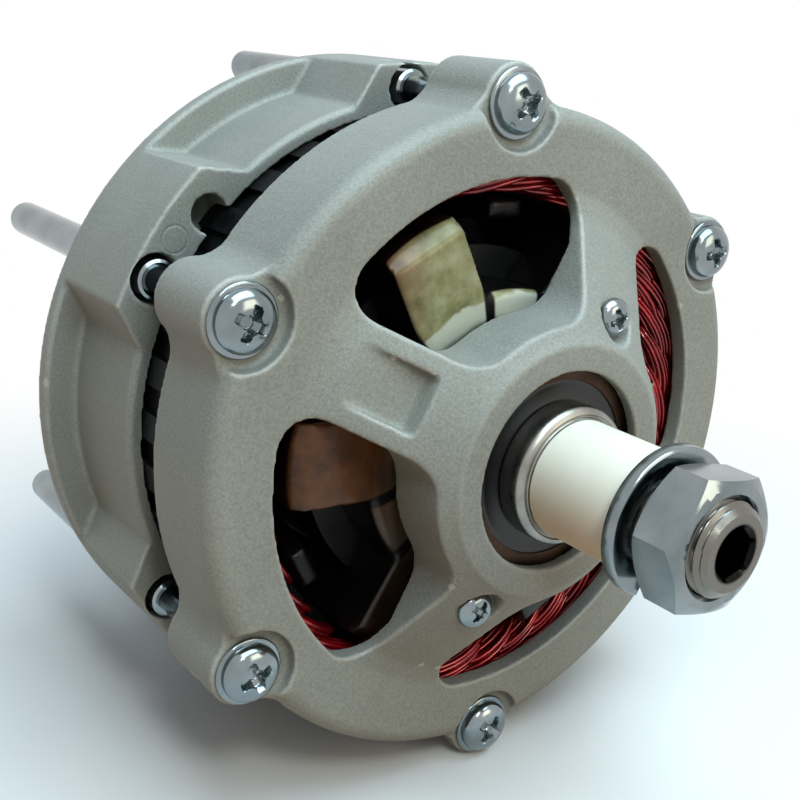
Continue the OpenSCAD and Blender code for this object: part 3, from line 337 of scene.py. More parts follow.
# %% [markdown]
# ## Turned rings: washers, collar and sleeve
# Anything that comes off a lathe is a profile carried round an axis: a grid whose rows go round and whose columns
# follow the closed profile. A Screw modifier does the same, but a grid leaves plain mesh behind. The collar has a
# stepped, rounded nose; the sleeve is a plain moulded tube.

# %% Turned rings
def turned(profile, centre=(0.0, 0.0), count=96):
    """A closed profile of (radius, height) points carried round an axis along the shaft."""
    p = np.asarray(profile, float)
    return rings(angles_from(0, count), p[None, :, 0], p[None, :, 1], centre), True, True


def rounded(r_in, r_out, low, high, edge, steps=5):
    """A rectangle of radius and height with its corners rounded: four quarter circles in turn."""
    a = np.linspace(0, np.pi / 2, steps)
    corners = [(r_out - edge, high - edge, 0), (r_in + edge, high - edge, 1), (r_in + edge, low + edge, 2),
               (r_out - edge, low + edge, 3)]
    return np.vstack([np.stack([cx + edge * np.cos(a + k * np.pi / 2), cz + edge * np.sin(a + k * np.pi / 2)], axis=1)
                      for cx, cz, k in corners])


washer = rounded(WASHER_BORE, 6.3, SPOT_FACE, SPOT_FACE + WASHER_HEIGHT, 0.4)
collar = [(JOURNAL_BORE, COLLAR_BACK), (12.5, COLLAR_BACK), (12.9, 74.4), (12.9, 78.3), (12.75, 78.8), (12.3, 79.3),
          (11.7, 79.55), (11.45, 79.25), (11.2, 79.25), (11.0, SLEEVE_BACK), (JOURNAL_BORE, SLEEVE_BACK)]
sleeve = rounded(JOURNAL_BORE, 10.8, SLEEVE_BACK, SLEEVE_FRONT, 0.35)
piece("bolt_washer_set", [turned(washer, c, 64) for c in on_circle(BOLT_CIRCLE, BOLT_TURNS)],
    "housing", "zinc_steel", ["bolt_washers"])
piece("collar_turned", [turned(collar, count=128)], "rotor", "shaft_steel", ["spacer_collar"], 60)
piece("sleeve_moulded", [turned(sleeve, count=128)], "rotor", "ivory_plastic", ["shaft_sleeve"])

# %% [markdown]
# ## The bearings' seals
# Looking into the hub, the eye meets a rubber seal: a smooth shallow dish that runs right up to the collar. It is a
# turned ring too, and its profile dips and rises again between the inner race and the outer one.

# %% Seals
def seal(front, face, circle, ball):
    """A shallow dish between two radii; front is its outer face's height and face says which way it looks."""
    r_in, r_out = circle - ball * 0.82 + 0.3, circle + ball * 0.68 - 0.02
    share = np.array([0, 0.14, 0.26, 0.45, 0.65, 0.82, 0.93, 1, 1, 0])
    depth = np.array([0, 0, -0.18, -0.34, -0.36, -0.24, -0.1, -0.2, -0.8, -0.8])
    return turned(np.stack([r_in + share * (r_out - r_in), front + face * depth], axis=1), count=128)


for name, node, front, back, circle, ball in (
        ("front_seal_pair", "front_bearing_seals", 73.95, 62.05, 14.25, 3.35),
        ("rear_seal_pair", "rear_bearing_seals", -14.05, -24.95, 12.5, 2.95)):
    piece(name, [seal(front, 1, circle, ball), seal(back, -1, circle, ball)], "housing", "seal_rubber", [node], 60)

# %% [markdown]
# ## The shaft, its thread and its socket
# The whole shaft is one grid: rings go from the rear end to the front. Over the thread the radius depends on both the
# height and the angle, which is all that a helix is. At the front the rings turn from a circle into the hexagon of
# the key's socket and go down inside it. The angles start at a corner of the hexagon, so that every corner is sharp.

# %% Threads and hexagons
THREAD_DEPTH = 0.54  # of the pitch, as every metric thread has it


def thread_radius(theta, z, start, crest, depth, pitch):
    """Radius of a 60 degree thread: a triangle wave of height minus angle, cut flat at crest and root."""
    phase = ((z - start) / pitch - theta / (2 * np.pi)) % 1.0
    return crest - depth * np.clip(np.abs(2 * phase - 1) * 1.3 - 0.15, 0, 1)


def hexagon_radius(theta, flats, turn=0.0):
    """Distance from the centre to a hexagon's side: half the flats over the cosine of the angle from that side."""
    return flats / 2 / np.cos((theta - turn + 1e-9) % (np.pi / 3) - np.pi / 6)


def threaded_rod(crest, pitch, low, high, chamfer, theta, steps=8):
    """Heights and radii of a threaded rod from low to high; the last end narrows over the length chamfer."""
    z = np.linspace(low, high, int((high - low) / pitch * steps) + 2)[None, :]
    r = thread_radius(theta, z, low, crest, THREAD_DEPTH * pitch, pitch)
    room = crest - np.clip(chamfer - (high - z), 0, None)
    return np.broadcast_to(z, r.shape), np.minimum(r, room)


def shaft_grid(count=144, key_turn=np.radians(12), key_flats=8.0):
    """Rear journal, main journal, thread, chamfer, and a hexagon socket with a drilled floor."""
    theta = angles_from(key_turn, count)
    zt, rt = threaded_rod(THREAD_R, pitch=1.5, low=98.2, high=SHAFT_END, chamfer=1.5, theta=theta, steps=12)
    journals = np.array([[0, -26], [6.7, -26], [7.5, -25.2], [7.5, -14], [JOURNAL_R, -14], [JOURNAL_R, 97.5],
                         [7.9, 98.1]])
    one = np.ones((count, 1))
    socket = hexagon_radius(theta, key_flats, key_turn)
    rim = [(one * 6.4, SHAFT_END), (one * 4.8, SHAFT_END), (socket, SHAFT_END - 0.7), (socket, SHAFT_END - 8.8),
           (one * 1.0, SHAFT_END - 9.6), (one * 0, SHAFT_END - 9.9)]
    r = np.concatenate([one * journals[:, 0], rt] + [a for a, _ in rim], axis=1)
    z = np.concatenate([one * journals[:, 1], zt] + [one * b for _, b in rim], axis=1)
    return rings(theta, r, z), True, False


piece("shaft_threaded", [shaft_grid()], "rotor", "shaft_steel", ["rotor_shaft"], 30)

# %% [markdown]
# ## The nut
# A nut is turned from hexagon bar: the bar's side gives a radius that depends on the angle, and the turning tool cuts
# a cone off both ends, which leaves the curved edges that every nut has. A Boolean with a cone would do the same, but
# here the cone is only a drop in height that starts at a certain radius.

# %% Nuts
def nut_grid(flats, bore, low, high, turn, centre=(0.0, 0.0), count=192):
    """Rings over the bore, the face, the cone of 30 degrees out to the hexagon, and back down the other side."""
    theta = angles_from(turn, count)
    edge = hexagon_radius(theta, flats, turn)
    lead, cone_from = 0.04 * flats, 0.475 * flats
    share = np.concatenate([[0, 0.45, 0.8], np.linspace(0.86, 1, 7)])[None, :]
    r = bore + lead + share * (edge - bore - lead)
    drop = np.clip(r - cone_from, 0, None) * np.tan(np.radians(30))
    one = np.ones((count, 1))
    radius = np.concatenate([one * bore, one * bore, r, r[:, ::-1]], axis=1)
    height = np.concatenate([one * (low + 0.5), one * (high - lead), high - drop, low + drop[:, ::-1]], axis=1)
    return rings(theta, radius, height, centre), True, True


piece("nut_turned", [nut_grid(22, THREAD_R + CLEARANCE, NUT_BACK, NUT_FRONT, turn=np.radians(49))],
    "rotor", "zinc_steel", ["shaft_nut"], 22)

# %% [markdown]
# ## The split washer
# A square bar wound once round, left-handed so that it bites if the nut backs off. The section is carried along a
# helix that falls as it goes round; both ends are cut square.

# %% Split washer
def bar_ring(r_in, r_out, low, thick, rise, first, last, count=160):
    """A rounded square section carried from angle first to last while it drops by rise."""
    share = np.linspace(0, 1, count)[:, None]
    theta = first + (last - first) * share
    section = rounded(r_in, r_out, 0, thick, 0.5)
    r = np.broadcast_to(section[:, 0], (count, len(section)))
    z = low + rise * (1 - share) + section[None, :, 1]
    middle = np.full((1, len(section)), (r_in + r_out) / 2)
    caps = [rings(theta[k], middle, z[k].mean()) for k in (0, -1)]
    return np.concatenate([caps[0], rings(theta, r, z), caps[1]], axis=0), False, True


bar = bar_ring(8.4, 13.2, SLEEVE_FRONT, thick=2.6, rise=2.5, first=np.radians(256), last=np.radians(604))
piece("washer_split", [bar], "rotor", "zinc_steel", ["lock_washer"], 40)

# %% [markdown]
# ## The stator's end turns
# Each coil leaves one slot, climbs, crosses over its neighbours and goes down three slots on. One wire is a tube
# along such an arch, and a coil is a bundle of them. All the wires of one end are worked out together as one array
# with the axes coil, wire, step along the wire, and point round the wire. There are hundreds, so each has few faces.

# %% End turns
SLOT_SPAN = np.radians(30)
TURNS_MIDDLE, TURNS_SWING, WIRE_APART = 50.3, 2.2, 0.95
TURNS_INNER, TURNS_OUTER = 46.4, 54.3
ARCH_HEIGHT, ARCH_STEP, ARCH_FOOT = 8.1, 1.5, 3.0


def end_turns(side, coils=36, layers=4, strands=3, steps=11, sides=5, wire_r=0.56):
    """Tubes along arches: the angle runs evenly, the height is a flat-topped sine, the radius swings from out to in."""
    u = np.linspace(0, 1, steps)[None, None, :]
    wave = np.random.default_rng(5 + side).uniform(-1, 1, (coils, layers * strands, 1))
    k = np.arange(layers * strands)[None, :, None]
    start = (np.arange(coils) * 2 * np.pi / coils)[:, None, None]
    theta = start + SLOT_SPAN * u + 0.006 * wave
    lift = ARCH_HEIGHT - ARCH_STEP * (k // layers) + 0.45 * wave
    height = -ARCH_FOOT + (lift + ARCH_FOOT) * np.sin(np.pi * u) ** 0.34
    radius = TURNS_MIDDLE + (TURNS_SWING + 0.3 * wave) * np.cos(np.pi * u)
    radius = np.clip(radius + WIRE_APART * (k % layers - 0.5 * (layers - 1)), TURNS_INNER, TURNS_OUTER)
    centre = rings(theta, radius, height)
    ahead = np.gradient(centre, axis=2)
    ahead /= np.linalg.norm(ahead, axis=-1, keepdims=True)
    out = rings(theta, 1.0, 0.0)
    out -= (out * ahead).sum(-1, keepdims=True) * ahead
    out /= np.linalg.norm(out, axis=-1, keepdims=True)
    across = np.cross(ahead, out)
    a = np.linspace(0, 2 * np.pi, sides, endpoint=False)
    ring = wire_r * (np.cos(a)[:, None] * out[..., None, :] + np.sin(a)[:, None] * across[..., None, :])
    tubes = centre[..., None, :] + ring
    ends = np.broadcast_to(centre[..., None, :], tubes.shape)[:, :, [0, -1]]
    tubes = np.concatenate([ends[:, :, :1], tubes, ends[:, :, 1:]], axis=2)
    tubes[..., 2] = CORE_MIDDLE + side * (CORE_HALF + tubes[..., 2])
    return [(tube, False, True) for tube in tubes.reshape(-1, steps + 2, sides, 3)]


piece("winding_drive_end", end_turns(1), "housing", "red_copper", ["stator_winding"], 85)
piece("winding_far_end", end_turns(-1), "housing", "red_copper", ["stator_winding"], 85)

# %% [markdown]
# ## Brush springs
# A small coil spring of drawn wire presses each brush on its slip ring. A helix is a circle whose height rises evenly.

# %% Brush springs
def coil_spring(low, high, turns=5, steps=24, sides=8, wire=0.3):
    """A tube along an upright helix that fills the box from low to high: angle and height both run evenly."""
    coil = 0.5 * (high[0] - low[0]) - wire
    a = np.linspace(0, 2 * np.pi * turns, turns * steps + 1)[:, None]
    h = np.linspace(low[2] + wire, high[2] - wire, turns * steps + 1)[:, None]
    k = np.linspace(0, 2 * np.pi, sides, endpoint=False)[None, :]
    out, middle = coil + wire * np.cos(k), 0.5 * (low + high)
    tube = np.stack([middle[0] + out * np.cos(a), h + wire * np.sin(k), out * np.sin(a) - middle[1]], axis=-1)
    ends = np.broadcast_to(tube.mean(axis=1, keepdims=True), tube.shape)[[0, -1]]
    return np.concatenate([ends[:1], tube, ends[1:]]), False, True


for side in ("front", "rear"):
    node, joint = side + "_brush_spring", side + "_brush_slide"
    low, high = (np.array(corner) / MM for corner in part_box(node))
    spring = piece(side + "_spring_coiled", [coil_spring(low, high)], "housing", "spring_steel", [node], 60)
    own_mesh(spring)

# %% [markdown]
# ## Terminals at the back
# The two terminals are brass studs with nuts. They use the same thread and the same nut as the shaft, only smaller.

# %% Terminal studs and nuts
TERMINALS = (  # name, thread radius, pitch, ends of the inner nut, flats, turn, washer's radius
    ("plus", 3.0, 1.0, -11.0, -8.0, 9.9, 0.2, 6.0),
    ("field", 2.5, 0.8, 2.5, 5.0, 8.25, 0.5, 5.0))
TERMINAL_PLACES = on_circle(RECTIFIER_CIRCLE, np.radians([252, 286]))
STUD_END, NUT_END, NUT_SEAT, WASHER_SEAT = -45.0, -33.5, -29.5, -28.5


def terminal_stud(centre, crest, pitch, inner):
    """A threaded rod from the inner nut out to the back, closed at both ends."""
    theta = angles_from(0, 64)
    z, r = threaded_rod(crest, pitch, -inner, -STUD_END, 0.8, theta)
    none = np.zeros((64, 1))
    r = np.concatenate([none, r, none], axis=1)
    z = np.concatenate([z[:, :1], z, z[:, -1:]], axis=1)
    return rings(theta, r, -z, centre), True, False


for (name, crest, pitch, low, high, flats, turn, _), at in zip(TERMINALS, TERMINAL_PLACES):
    piece(name + "_stud_threaded", [terminal_stud(at, crest, pitch, low),
        nut_grid(flats, crest - CLEARANCE, low, high, turn, at, 96)], "housing", "stud_brass", [name + "_stud"], 40)
for (name, crest, _, _, _, flats, turn, reach), at in zip(TERMINALS, TERMINAL_PLACES):
    piece(name + "_nut_turned", [nut_grid(flats, crest + CLEARANCE, NUT_END, NUT_SEAT, turn, at, 96),
        turned(rounded(crest + CLEARANCE, reach, NUT_SEAT, WASHER_SEAT, 0.3), at, 64)],
        "housing", "stud_brass", [name + "_nut"], 30)

# %% [markdown]
# ## A small kit for finishes
# Colours are written as the hex values a screen shows, and one function turns them to the linear values that a
# renderer needs. One more function adds a node, sets its inputs and makes its links, and every finish is built of it.
# Sockets that share a name go by number: Map Range takes the value, two limits to read from and two to give, and Mix
# takes the share, the first colour and the second. Noise lies mostly between 0.3 and 0.7, so that is the range that
# most finishes read.

# %% Colour and node helpers
def linear(code):
    """sRGB hex to linear light: below 0.04045 a straight line, above it a power of 2.4."""
    c = np.array([int(code[i:i + 2], 16) for i in (1, 3, 5)]) / 255
    c = np.where(c <= 0.04045, c / 12.92, ((c + 0.055) / 1.055) ** 2.4)
    return (*(float(v) for v in c), 1.0)


def add(tree, kind, settings=None, **inputs):
    """Adds a node. A value goes onto its socket, and a socket or a node's first output is linked to it; _0, _1 are
    sockets by number. The setting stops fills a colour ramp with (place, hex) pairs."""
    node = tree.nodes.new("ShaderNode" + kind)
    for key, value in (settings or {}).items():
        if key != "stops":
            setattr(node, key, value)
            continue
        for k, (at, code) in enumerate(value):
            stop = node.color_ramp.elements[k] if k < 2 else node.color_ramp.elements.new(at)
            stop.position, stop.color = at, linear(code)
    for key, value in inputs.items():
        socket = node.inputs[int(key[1:]) if key[0] == "_" else key.replace("_", " ")]
        if isinstance(value, (bpy.types.Node, bpy.types.NodeSocket)):
            tree.links.new(value.outputs[0] if isinstance(value, bpy.types.Node) else value, socket)
        else:
            socket.default_value = value
    return node


def new_material(name):
    """An empty material, its node tree and the piece's own Object coordinates."""
    made = bpy.data.materials.new(name)
    made.use_nodes = True
    tree = made.node_tree
    tree.nodes.clear()
    return made, tree, add(tree, "TexCoord").outputs["Object"]


def from_axis(tree, place):
    """Distance from the shaft's axis, which runs along Y: the length of the place with its Y taken out."""
    flat = add(tree, "VectorMath", {"operation": "MULTIPLY"}, _0=place, _1=(1.0, 0.0, 1.0))
    return add(tree, "VectorMath", {"operation": "LENGTH"}, _0=flat).outputs["Value"]


print("mid grey is", round(linear("#808080")[0], 3), "in linear light")

# %% [markdown]
# ## Cast aluminium
# Pressure die-cast aluminium, shot-blasted after casting. The blasting leaves a dull, even grey with a grain of about
# 0.3 mm, drawn here at 0.5 mm so that it shows. The grey drifts in soft patches, sharply bent edges get a painted
# highlight that makes them lighter (Pointiness knows how sharply the mesh bends), and the ejector pin left one round
# mark beside the wide boss. Blasted skin scatters light much as paint does, so only a small share of it is treated as
# bare metal.

# %% Blasted cast aluminium
EJECTOR_MARK, MARK_RADIUS = (-0.0503, -0.0275, 0.0379), 2.5


def blasted_cast_aluminium():
    made, tree, place = new_material("shot_blasted_die_cast_aluminium")
    grain = add(tree, "TexNoise", Vector=place, Scale=1 / (0.5 * MM), Detail=3.0, Roughness=0.65)
    patches = add(tree, "TexNoise", Vector=place, Scale=1 / (24 * MM), Detail=3.0)
    speckle = add(tree, "ValToRGB", {"stops": [(0.3, "#6b6e68"), (0.7, "#a5a8a0")]}, Fac=grain)
    drift = add(tree, "ValToRGB", {"stops": [(0.3, "#848780"), (0.7, "#989b93")]}, Fac=patches)
    tone = add(tree, "MixRGB", _0=0.5, _1=drift, _2=speckle)
    bend = add(tree, "NewGeometry").outputs["Pointiness"]
    # painted highlight: edges that bend sharply are lightened towards a pale grey
    edge_highlight = add(tree, "MapRange", _0=bend, _1=0.51, _2=0.57, _3=0.0, _4=0.6)
    colour = add(tree, "MixRGB", _0=edge_highlight, _1=tone, _2=linear("#d2d2ca"))
    rough = add(tree, "MapRange", _0=grain, _1=0.3, _2=0.7, _3=0.46, _4=0.66)
    mark = add(tree, "VectorMath", {"operation": "DISTANCE"}, _0=place, _1=EJECTOR_MARK)
    off = add(tree, "Math", {"operation": "SUBTRACT"}, _0=mark.outputs["Value"], _1=MARK_RADIUS * MM)
    away = add(tree, "Math", {"operation": "ABSOLUTE"}, _0=off)
    ring = add(tree, "MapRange", _0=away, _1=0.05 * MM, _2=0.35 * MM, _3=-0.8, _4=0.0)
    height = add(tree, "Math", {"operation": "ADD"}, _0=grain, _1=ring)
    normal = add(tree, "Bump", Height=height, Distance=0.12 * MM, Strength=0.8)
    shader = add(tree, "BsdfPrincipled", Base_Color=colour, Metallic=0.12, Roughness=rough, Normal=normal)
    add(tree, "OutputMaterial", Surface=shader)
    return made


# %% [markdown]
# ## Bright zinc
# Electroplated zinc on steel screws, nut and washers: a thin bright coat with a cool tint that shows faint clouds
# where it is thicker. It is the shiniest finish here, so its roughness is low, and it keeps a metal's default IOR.

# %% Zinc plate
def zinc_plate():
    made, tree, place = new_material("bright_electroplated_zinc")
    cloud = add(tree, "TexNoise", Vector=place, Scale=1 / (9 * MM), Detail=3.0)
    wave = add(tree, "TexNoise", Vector=place, Scale=1 / (2.5 * MM), Detail=2.0)
    colour = add(tree, "ValToRGB", {"stops": [(0.3, "#768083"), (0.7, "#959d9f")]}, Fac=cloud)
    rough = add(tree, "MapRange", _0=cloud, _1=0.3, _2=0.7, _3=0.13, _4=0.22)
    normal = add(tree, "Bump", Height=wave, Distance=0.02 * MM, Strength=0.25)
    shader = add(tree, "BsdfPrincipled", Base_Color=colour, Metallic=1.0, Roughness=rough, Normal=normal)
    add(tree, "OutputMaterial", Surface=shader)
    return made


# %% [markdown]
# ## Turned metal
# Bare steel, brass, copper or aluminium from the lathe. The tool leaves a fine spiral, about 0.1 mm apart and drawn at
# 0.3 mm. Radius plus height makes one pattern that gives rings on end faces and hoops on cylinders alike. From inside
# the nut forwards the shaft end is dark with oil, and in the key's socket it is painted darker still as shade in the
# recess: a second colour that comes in with height and a third that comes in below a radius.

# %% Turned metal
OIL_FROM, OIL_FULL = -0.1045, -0.1050  # metres along Y, both inside the nut
# the painted shade inside the key's socket comes in between these two radii
SOCKET_EDGE, SOCKET_SHADE_FULL = 5.2 * MM, 4.7 * MM  # radii, just outside the key's socket


def turned_metal(name, dark, light, rough):
    made, tree, place = new_material(name)
    radius = from_axis(tree, place)
    length = add(tree, "SeparateXYZ", _0=place).outputs["Y"]
    station = add(tree, "Math", {"operation": "ADD"}, _0=radius, _1=length)
    turns = add(tree, "Math", {"operation": "MULTIPLY"}, _0=station, _1=2 * np.pi / (0.3 * MM))
    hoops = add(tree, "Math", {"operation": "SINE"}, _0=turns)
    cloud = add(tree, "TexNoise", Vector=place, Scale=1 / (6 * MM), Detail=3.0)
    clean = add(tree, "ValToRGB", {"stops": [(0.3, dark), (0.7, light)]}, Fac=cloud)
    oiled = add(tree, "MapRange", _0=length, _1=OIL_FROM, _2=OIL_FULL, _3=0.0, _4=1.0)
    # painted shade: inside the key's socket the colour goes nearly black
    socket_shade = add(tree, "MapRange", _0=radius, _1=SOCKET_EDGE, _2=SOCKET_SHADE_FULL, _3=0.0, _4=1.0)
    oil_and_socket_shade = add(tree, "MixRGB", _0=socket_shade, _1=linear("#77756f"), _2=linear("#1a1816"))
    colour = add(tree, "MixRGB", _0=oiled, _1=clean, _2=oil_and_socket_shade)
    gloss = add(tree, "MapRange", _0=cloud, _1=0.3, _2=0.7, _3=0.8 * rough, _4=1.3 * rough)
    normal = add(tree, "Bump", Height=hoops, Distance=0.008 * MM, Strength=0.5)
    shader = add(tree, "BsdfPrincipled", Base_Color=colour, Metallic=1.0, Roughness=gloss, Normal=normal)
    add(tree, "OutputMaterial", Surface=shader)
    return made


# %% [markdown]
# ## Painted shade on the rotor
# Forged steel claws under a thin varnish. Only the claws' front faces keep their colour; every other side and every
# face further back is painted black, with a little gloss, as shade inside the housing. Which way a face looks (Normal)
# and how far forward it lies tell the front faces. A patch beside each claw's root is painted black as shade between
# the claws, which the angle on the rotor gives. The rotor carries its Object coordinates along, so the mask turns with
# it.

# %% Mask of the painted shade on the rotor
FIRST_CLAW, CLAWS = np.radians(115), 6
# faces that lie behind these places along Y get painted shade
UNSHADED_FROM, UNSHADED_FULL = -0.0550, -0.0562  # metres along Y, just behind the claws' front faces
TILT_FROM, TILT_FULL = -0.25, -0.5  # Y part of the normal: -1 looks straight at the drive end
# the patch of painted shade beside each claw's root
ROOT_SHADE_MIDDLE, ROOT_SHADE_HALF, ROOT_SHADE_EDGE = -0.2, 0.2, 0.3  # cosines of six times the angle past a claw


def unshaded_front_faces(tree, place):
    """1 on the claws' front faces, 0 where shade is painted: on every other side, further back, and beside each claw's
    root.
    """
    where = add(tree, "SeparateXYZ", _0=place)
    facing = add(tree, "SeparateXYZ", _0=add(tree, "NewGeometry").outputs["Normal"]).outputs["Y"]
    # painted shade: only faces that look forward and lie in front keep their colour, the rest is painted black
    looks = add(tree, "MapRange", _0=facing, _1=TILT_FROM, _2=TILT_FULL, _3=0.0, _4=1.0)
    ahead = add(tree, "MapRange", _0=where.outputs["Y"], _1=UNSHADED_FROM, _2=UNSHADED_FULL, _3=0.0, _4=1.0)
    front = add(tree, "Math", {"operation": "MULTIPLY"}, _0=looks, _1=ahead)
    angle = add(tree, "Math", {"operation": "ARCTAN2"}, _0=where.outputs["Z"], _1=where.outputs["X"])
    phase = add(tree, "Math", {"operation": "MULTIPLY_ADD"}, _0=angle, _1=float(CLAWS), _2=-CLAWS * FIRST_CLAW)
    beside = add(tree, "Math", {"operation": "COSINE"}, _0=phase)
    past_root = add(tree, "Math", {"operation": "ADD"}, _0=beside, _1=-ROOT_SHADE_MIDDLE)
    root = add(tree, "Math", {"operation": "ABSOLUTE"}, _0=past_root)
    # painted shade: a patch beside each claw's root goes black
    no_root_shade = add(tree, "MapRange", _0=root, _1=ROOT_SHADE_HALF, _2=ROOT_SHADE_EDGE, _3=0.0, _4=1.0)
    return add(tree, "Math", {"operation": "MULTIPLY"}, _0=front, _1=no_root_shade)


# %% [markdown]
# ## The rotor's varnish
# On the front faces the steel shows olive through a thin coat, browner towards the left, and painted darker towards the
# bottom as shade, nearly black at the lowest. Chipped edges are lighter. The disc next to the hub was turned bright
# after varnishing, up to a radius that wanders with the blotches.

# %% Varnished forging
DISC_END, COAT_FROM = 0.0284, 0.0290  # radii in metres where the bright disc gives way to the coat
BROWN_FROM, BROWN_FULL = -0.016, -0.027  # metres along X, to the left
# the painted shade comes in downwards between these two heights
LOW_SHADE_FROM, LOW_SHADE_FULL = 0.008, -0.020  # metres along Z, downwards


def varnished_forging_painted_shade():
    made, tree, place = new_material("varnished_forged_steel_painted_shade")
    where = add(tree, "SeparateXYZ", _0=place)
    blotch = add(tree, "TexNoise", Vector=place, Scale=1 / (7 * MM), Detail=4.0, Roughness=0.6)
    ragged = add(tree, "MapRange", _0=blotch, _1=0.3, _2=0.7, _3=-0.7 * MM, _4=0.7 * MM)
    edge = add(tree, "Math", {"operation": "ADD"}, _0=from_axis(tree, place), _1=ragged)
    coated = add(tree, "MapRange", _0=edge, _1=DISC_END, _2=COAT_FROM, _3=0.0, _4=1.0)
    olive = add(tree, "ValToRGB", {"stops": [(0.28, "#4d4626"), (0.5, "#86845a"), (0.72, "#a8a684")]}, Fac=blotch)
    brown = add(tree, "ValToRGB", {"stops": [(0.3, "#2a1003"), (0.7, "#7a3c0a")]}, Fac=blotch)
    bend = add(tree, "NewGeometry").outputs["Pointiness"]
    chipped = add(tree, "MapRange", _0=bend, _1=0.53, _2=0.6, _3=0.0, _4=0.7)
    thin_coat = add(tree, "MixRGB", _0=chipped, _1=olive, _2=linear("#cfd1b6"))
    clean = add(tree, "MixRGB", _0=coated, _1=linear("#c3c6b4"), _2=thin_coat)
    leftward = add(tree, "MapRange", _0=where.outputs["X"], _1=BROWN_FROM, _2=BROWN_FULL, _3=0.0, _4=0.9)
    browner_left = add(tree, "MixRGB", _0=leftward, _1=clean, _2=brown)
    # painted shade: the front faces go nearly black towards the bottom
    thick = add(tree, "MapRange", _0=where.outputs["Z"], _1=LOW_SHADE_FROM, _2=LOW_SHADE_FULL, _3=0.0, _4=0.96)
    face = add(tree, "MixRGB", _0=thick, _1=browner_left, _2=linear("#120904"))
    # painted shade: black on every side but the claws' front faces, further back and beside each claw's root
    black = add(tree, "ValToRGB", {"stops": [(0.3, "#030303"), (0.7, "#0c0a08")]}, Fac=blotch)
    shown = unshaded_front_faces(tree, place)
    colour = add(tree, "MixRGB", _0=shown, _1=black, _2=face)
    gloss = add(tree, "MapRange", _0=shown, _1=0.0, _2=1.0, _3=0.1, _4=0.35)
    runs = add(tree, "TexNoise", Vector=place, Scale=1 / (2.5 * MM), Detail=3.0)
    normal = add(tree, "Bump", Height=runs, Distance=0.15 * MM, Strength=0.6)
    shader = add(tree, "BsdfPrincipled", Base_Color=colour, Metallic=0.1, Roughness=0.42, Coat_Weight=gloss,
        Coat_Roughness=0.14, Specular_IOR_Level=0.2, Normal=normal)
    add(tree, "OutputMaterial", Surface=shader)
    return made


# %% [markdown]
# ## Laminations and wire
# The core is a stack of 0.5 mm sheets of electrical steel under black varnish: a fine line round it for every sheet,
# drawn every millimetre here. Enamelled wire is copper seen through a clear tinted coat, so it is a metal with a coat.

# %% Core and wire
def varnished_laminations():
    made, tree, place = new_material("varnished_electrical_steel_sheets")
    length = add(tree, "SeparateXYZ", _0=place).outputs["Y"]
    turns = add(tree, "Math", {"operation": "MULTIPLY"}, _0=length, _1=2 * np.pi / MM)
    sheets = add(tree, "Math", {"operation": "SINE"}, _0=turns)
    cloud = add(tree, "TexNoise", Vector=place, Scale=1 / (4 * MM), Detail=3.0)
    colour = add(tree, "ValToRGB", {"stops": [(0.35, "#030404"), (0.7, "#0c0e10")]}, Fac=cloud)
    rough = add(tree, "MapRange", _0=cloud, _1=0.3, _2=0.7, _3=0.45, _4=0.6)
    normal = add(tree, "Bump", Height=sheets, Distance=0.02 * MM, Strength=0.4)
    shader = add(tree, "BsdfPrincipled", Base_Color=colour, Roughness=rough, Specular_IOR_Level=0.15, Normal=normal)
    add(tree, "OutputMaterial", Surface=shader)
    return made


def enamelled_wire(name, stops):
    made, tree, place = new_material(name)
    cloud = add(tree, "TexNoise", Vector=place, Scale=1 / (5 * MM), Detail=2.0)
    colour = add(tree, "ValToRGB", {"stops": stops}, Fac=cloud)
    normal = add(tree, "Bump", Height=cloud, Distance=0.05 * MM, Strength=0.4)
    shader = add(tree, "BsdfPrincipled", Base_Color=colour, Metallic=0.6, Roughness=0.26, Coat_Weight=1.0,
        Coat_Roughness=0.07, Normal=normal)
    add(tree, "OutputMaterial", Surface=shader)
    return made


# %% [markdown]
# ## Plastics, rubber and carbon
# Moulded pieces take the mould's faint spark-eroded grain, about 0.5 mm, drawn at 0.8 mm and only hundredths deep.
# Nylon and rubber are nearly black, the sleeve is an ivory polyethylene that lets a little light in under its skin.

# %% Moulded materials
def moulded(name, stops, rough, grain_mm=0.8, depth_mm=0.015, **fixed):
    made, tree, place = new_material(name)
    cloud = add(tree, "TexNoise", Vector=place, Scale=1 / (12 * MM), Detail=3.0)
    grain = add(tree, "TexNoise", Vector=place, Scale=1 / (grain_mm * MM), Detail=2.0)
    colour = add(tree, "ValToRGB", {"stops": stops}, Fac=cloud)
    gloss = add(tree, "MapRange", _0=cloud, _1=0.3, _2=0.7, _3=0.85 * rough, _4=1.15 * rough)
    normal = add(tree, "Bump", Height=grain, Distance=depth_mm * MM, Strength=0.8)
    shader = add(tree, "BsdfPrincipled", Base_Color=colour, Roughness=gloss, Normal=normal, **fixed)
    add(tree, "OutputMaterial", Surface=shader)
    return made


# %% [markdown]
# ## Which finish goes where
# Each record slot names one finish, so a node and the finer piece that stands for it always match.

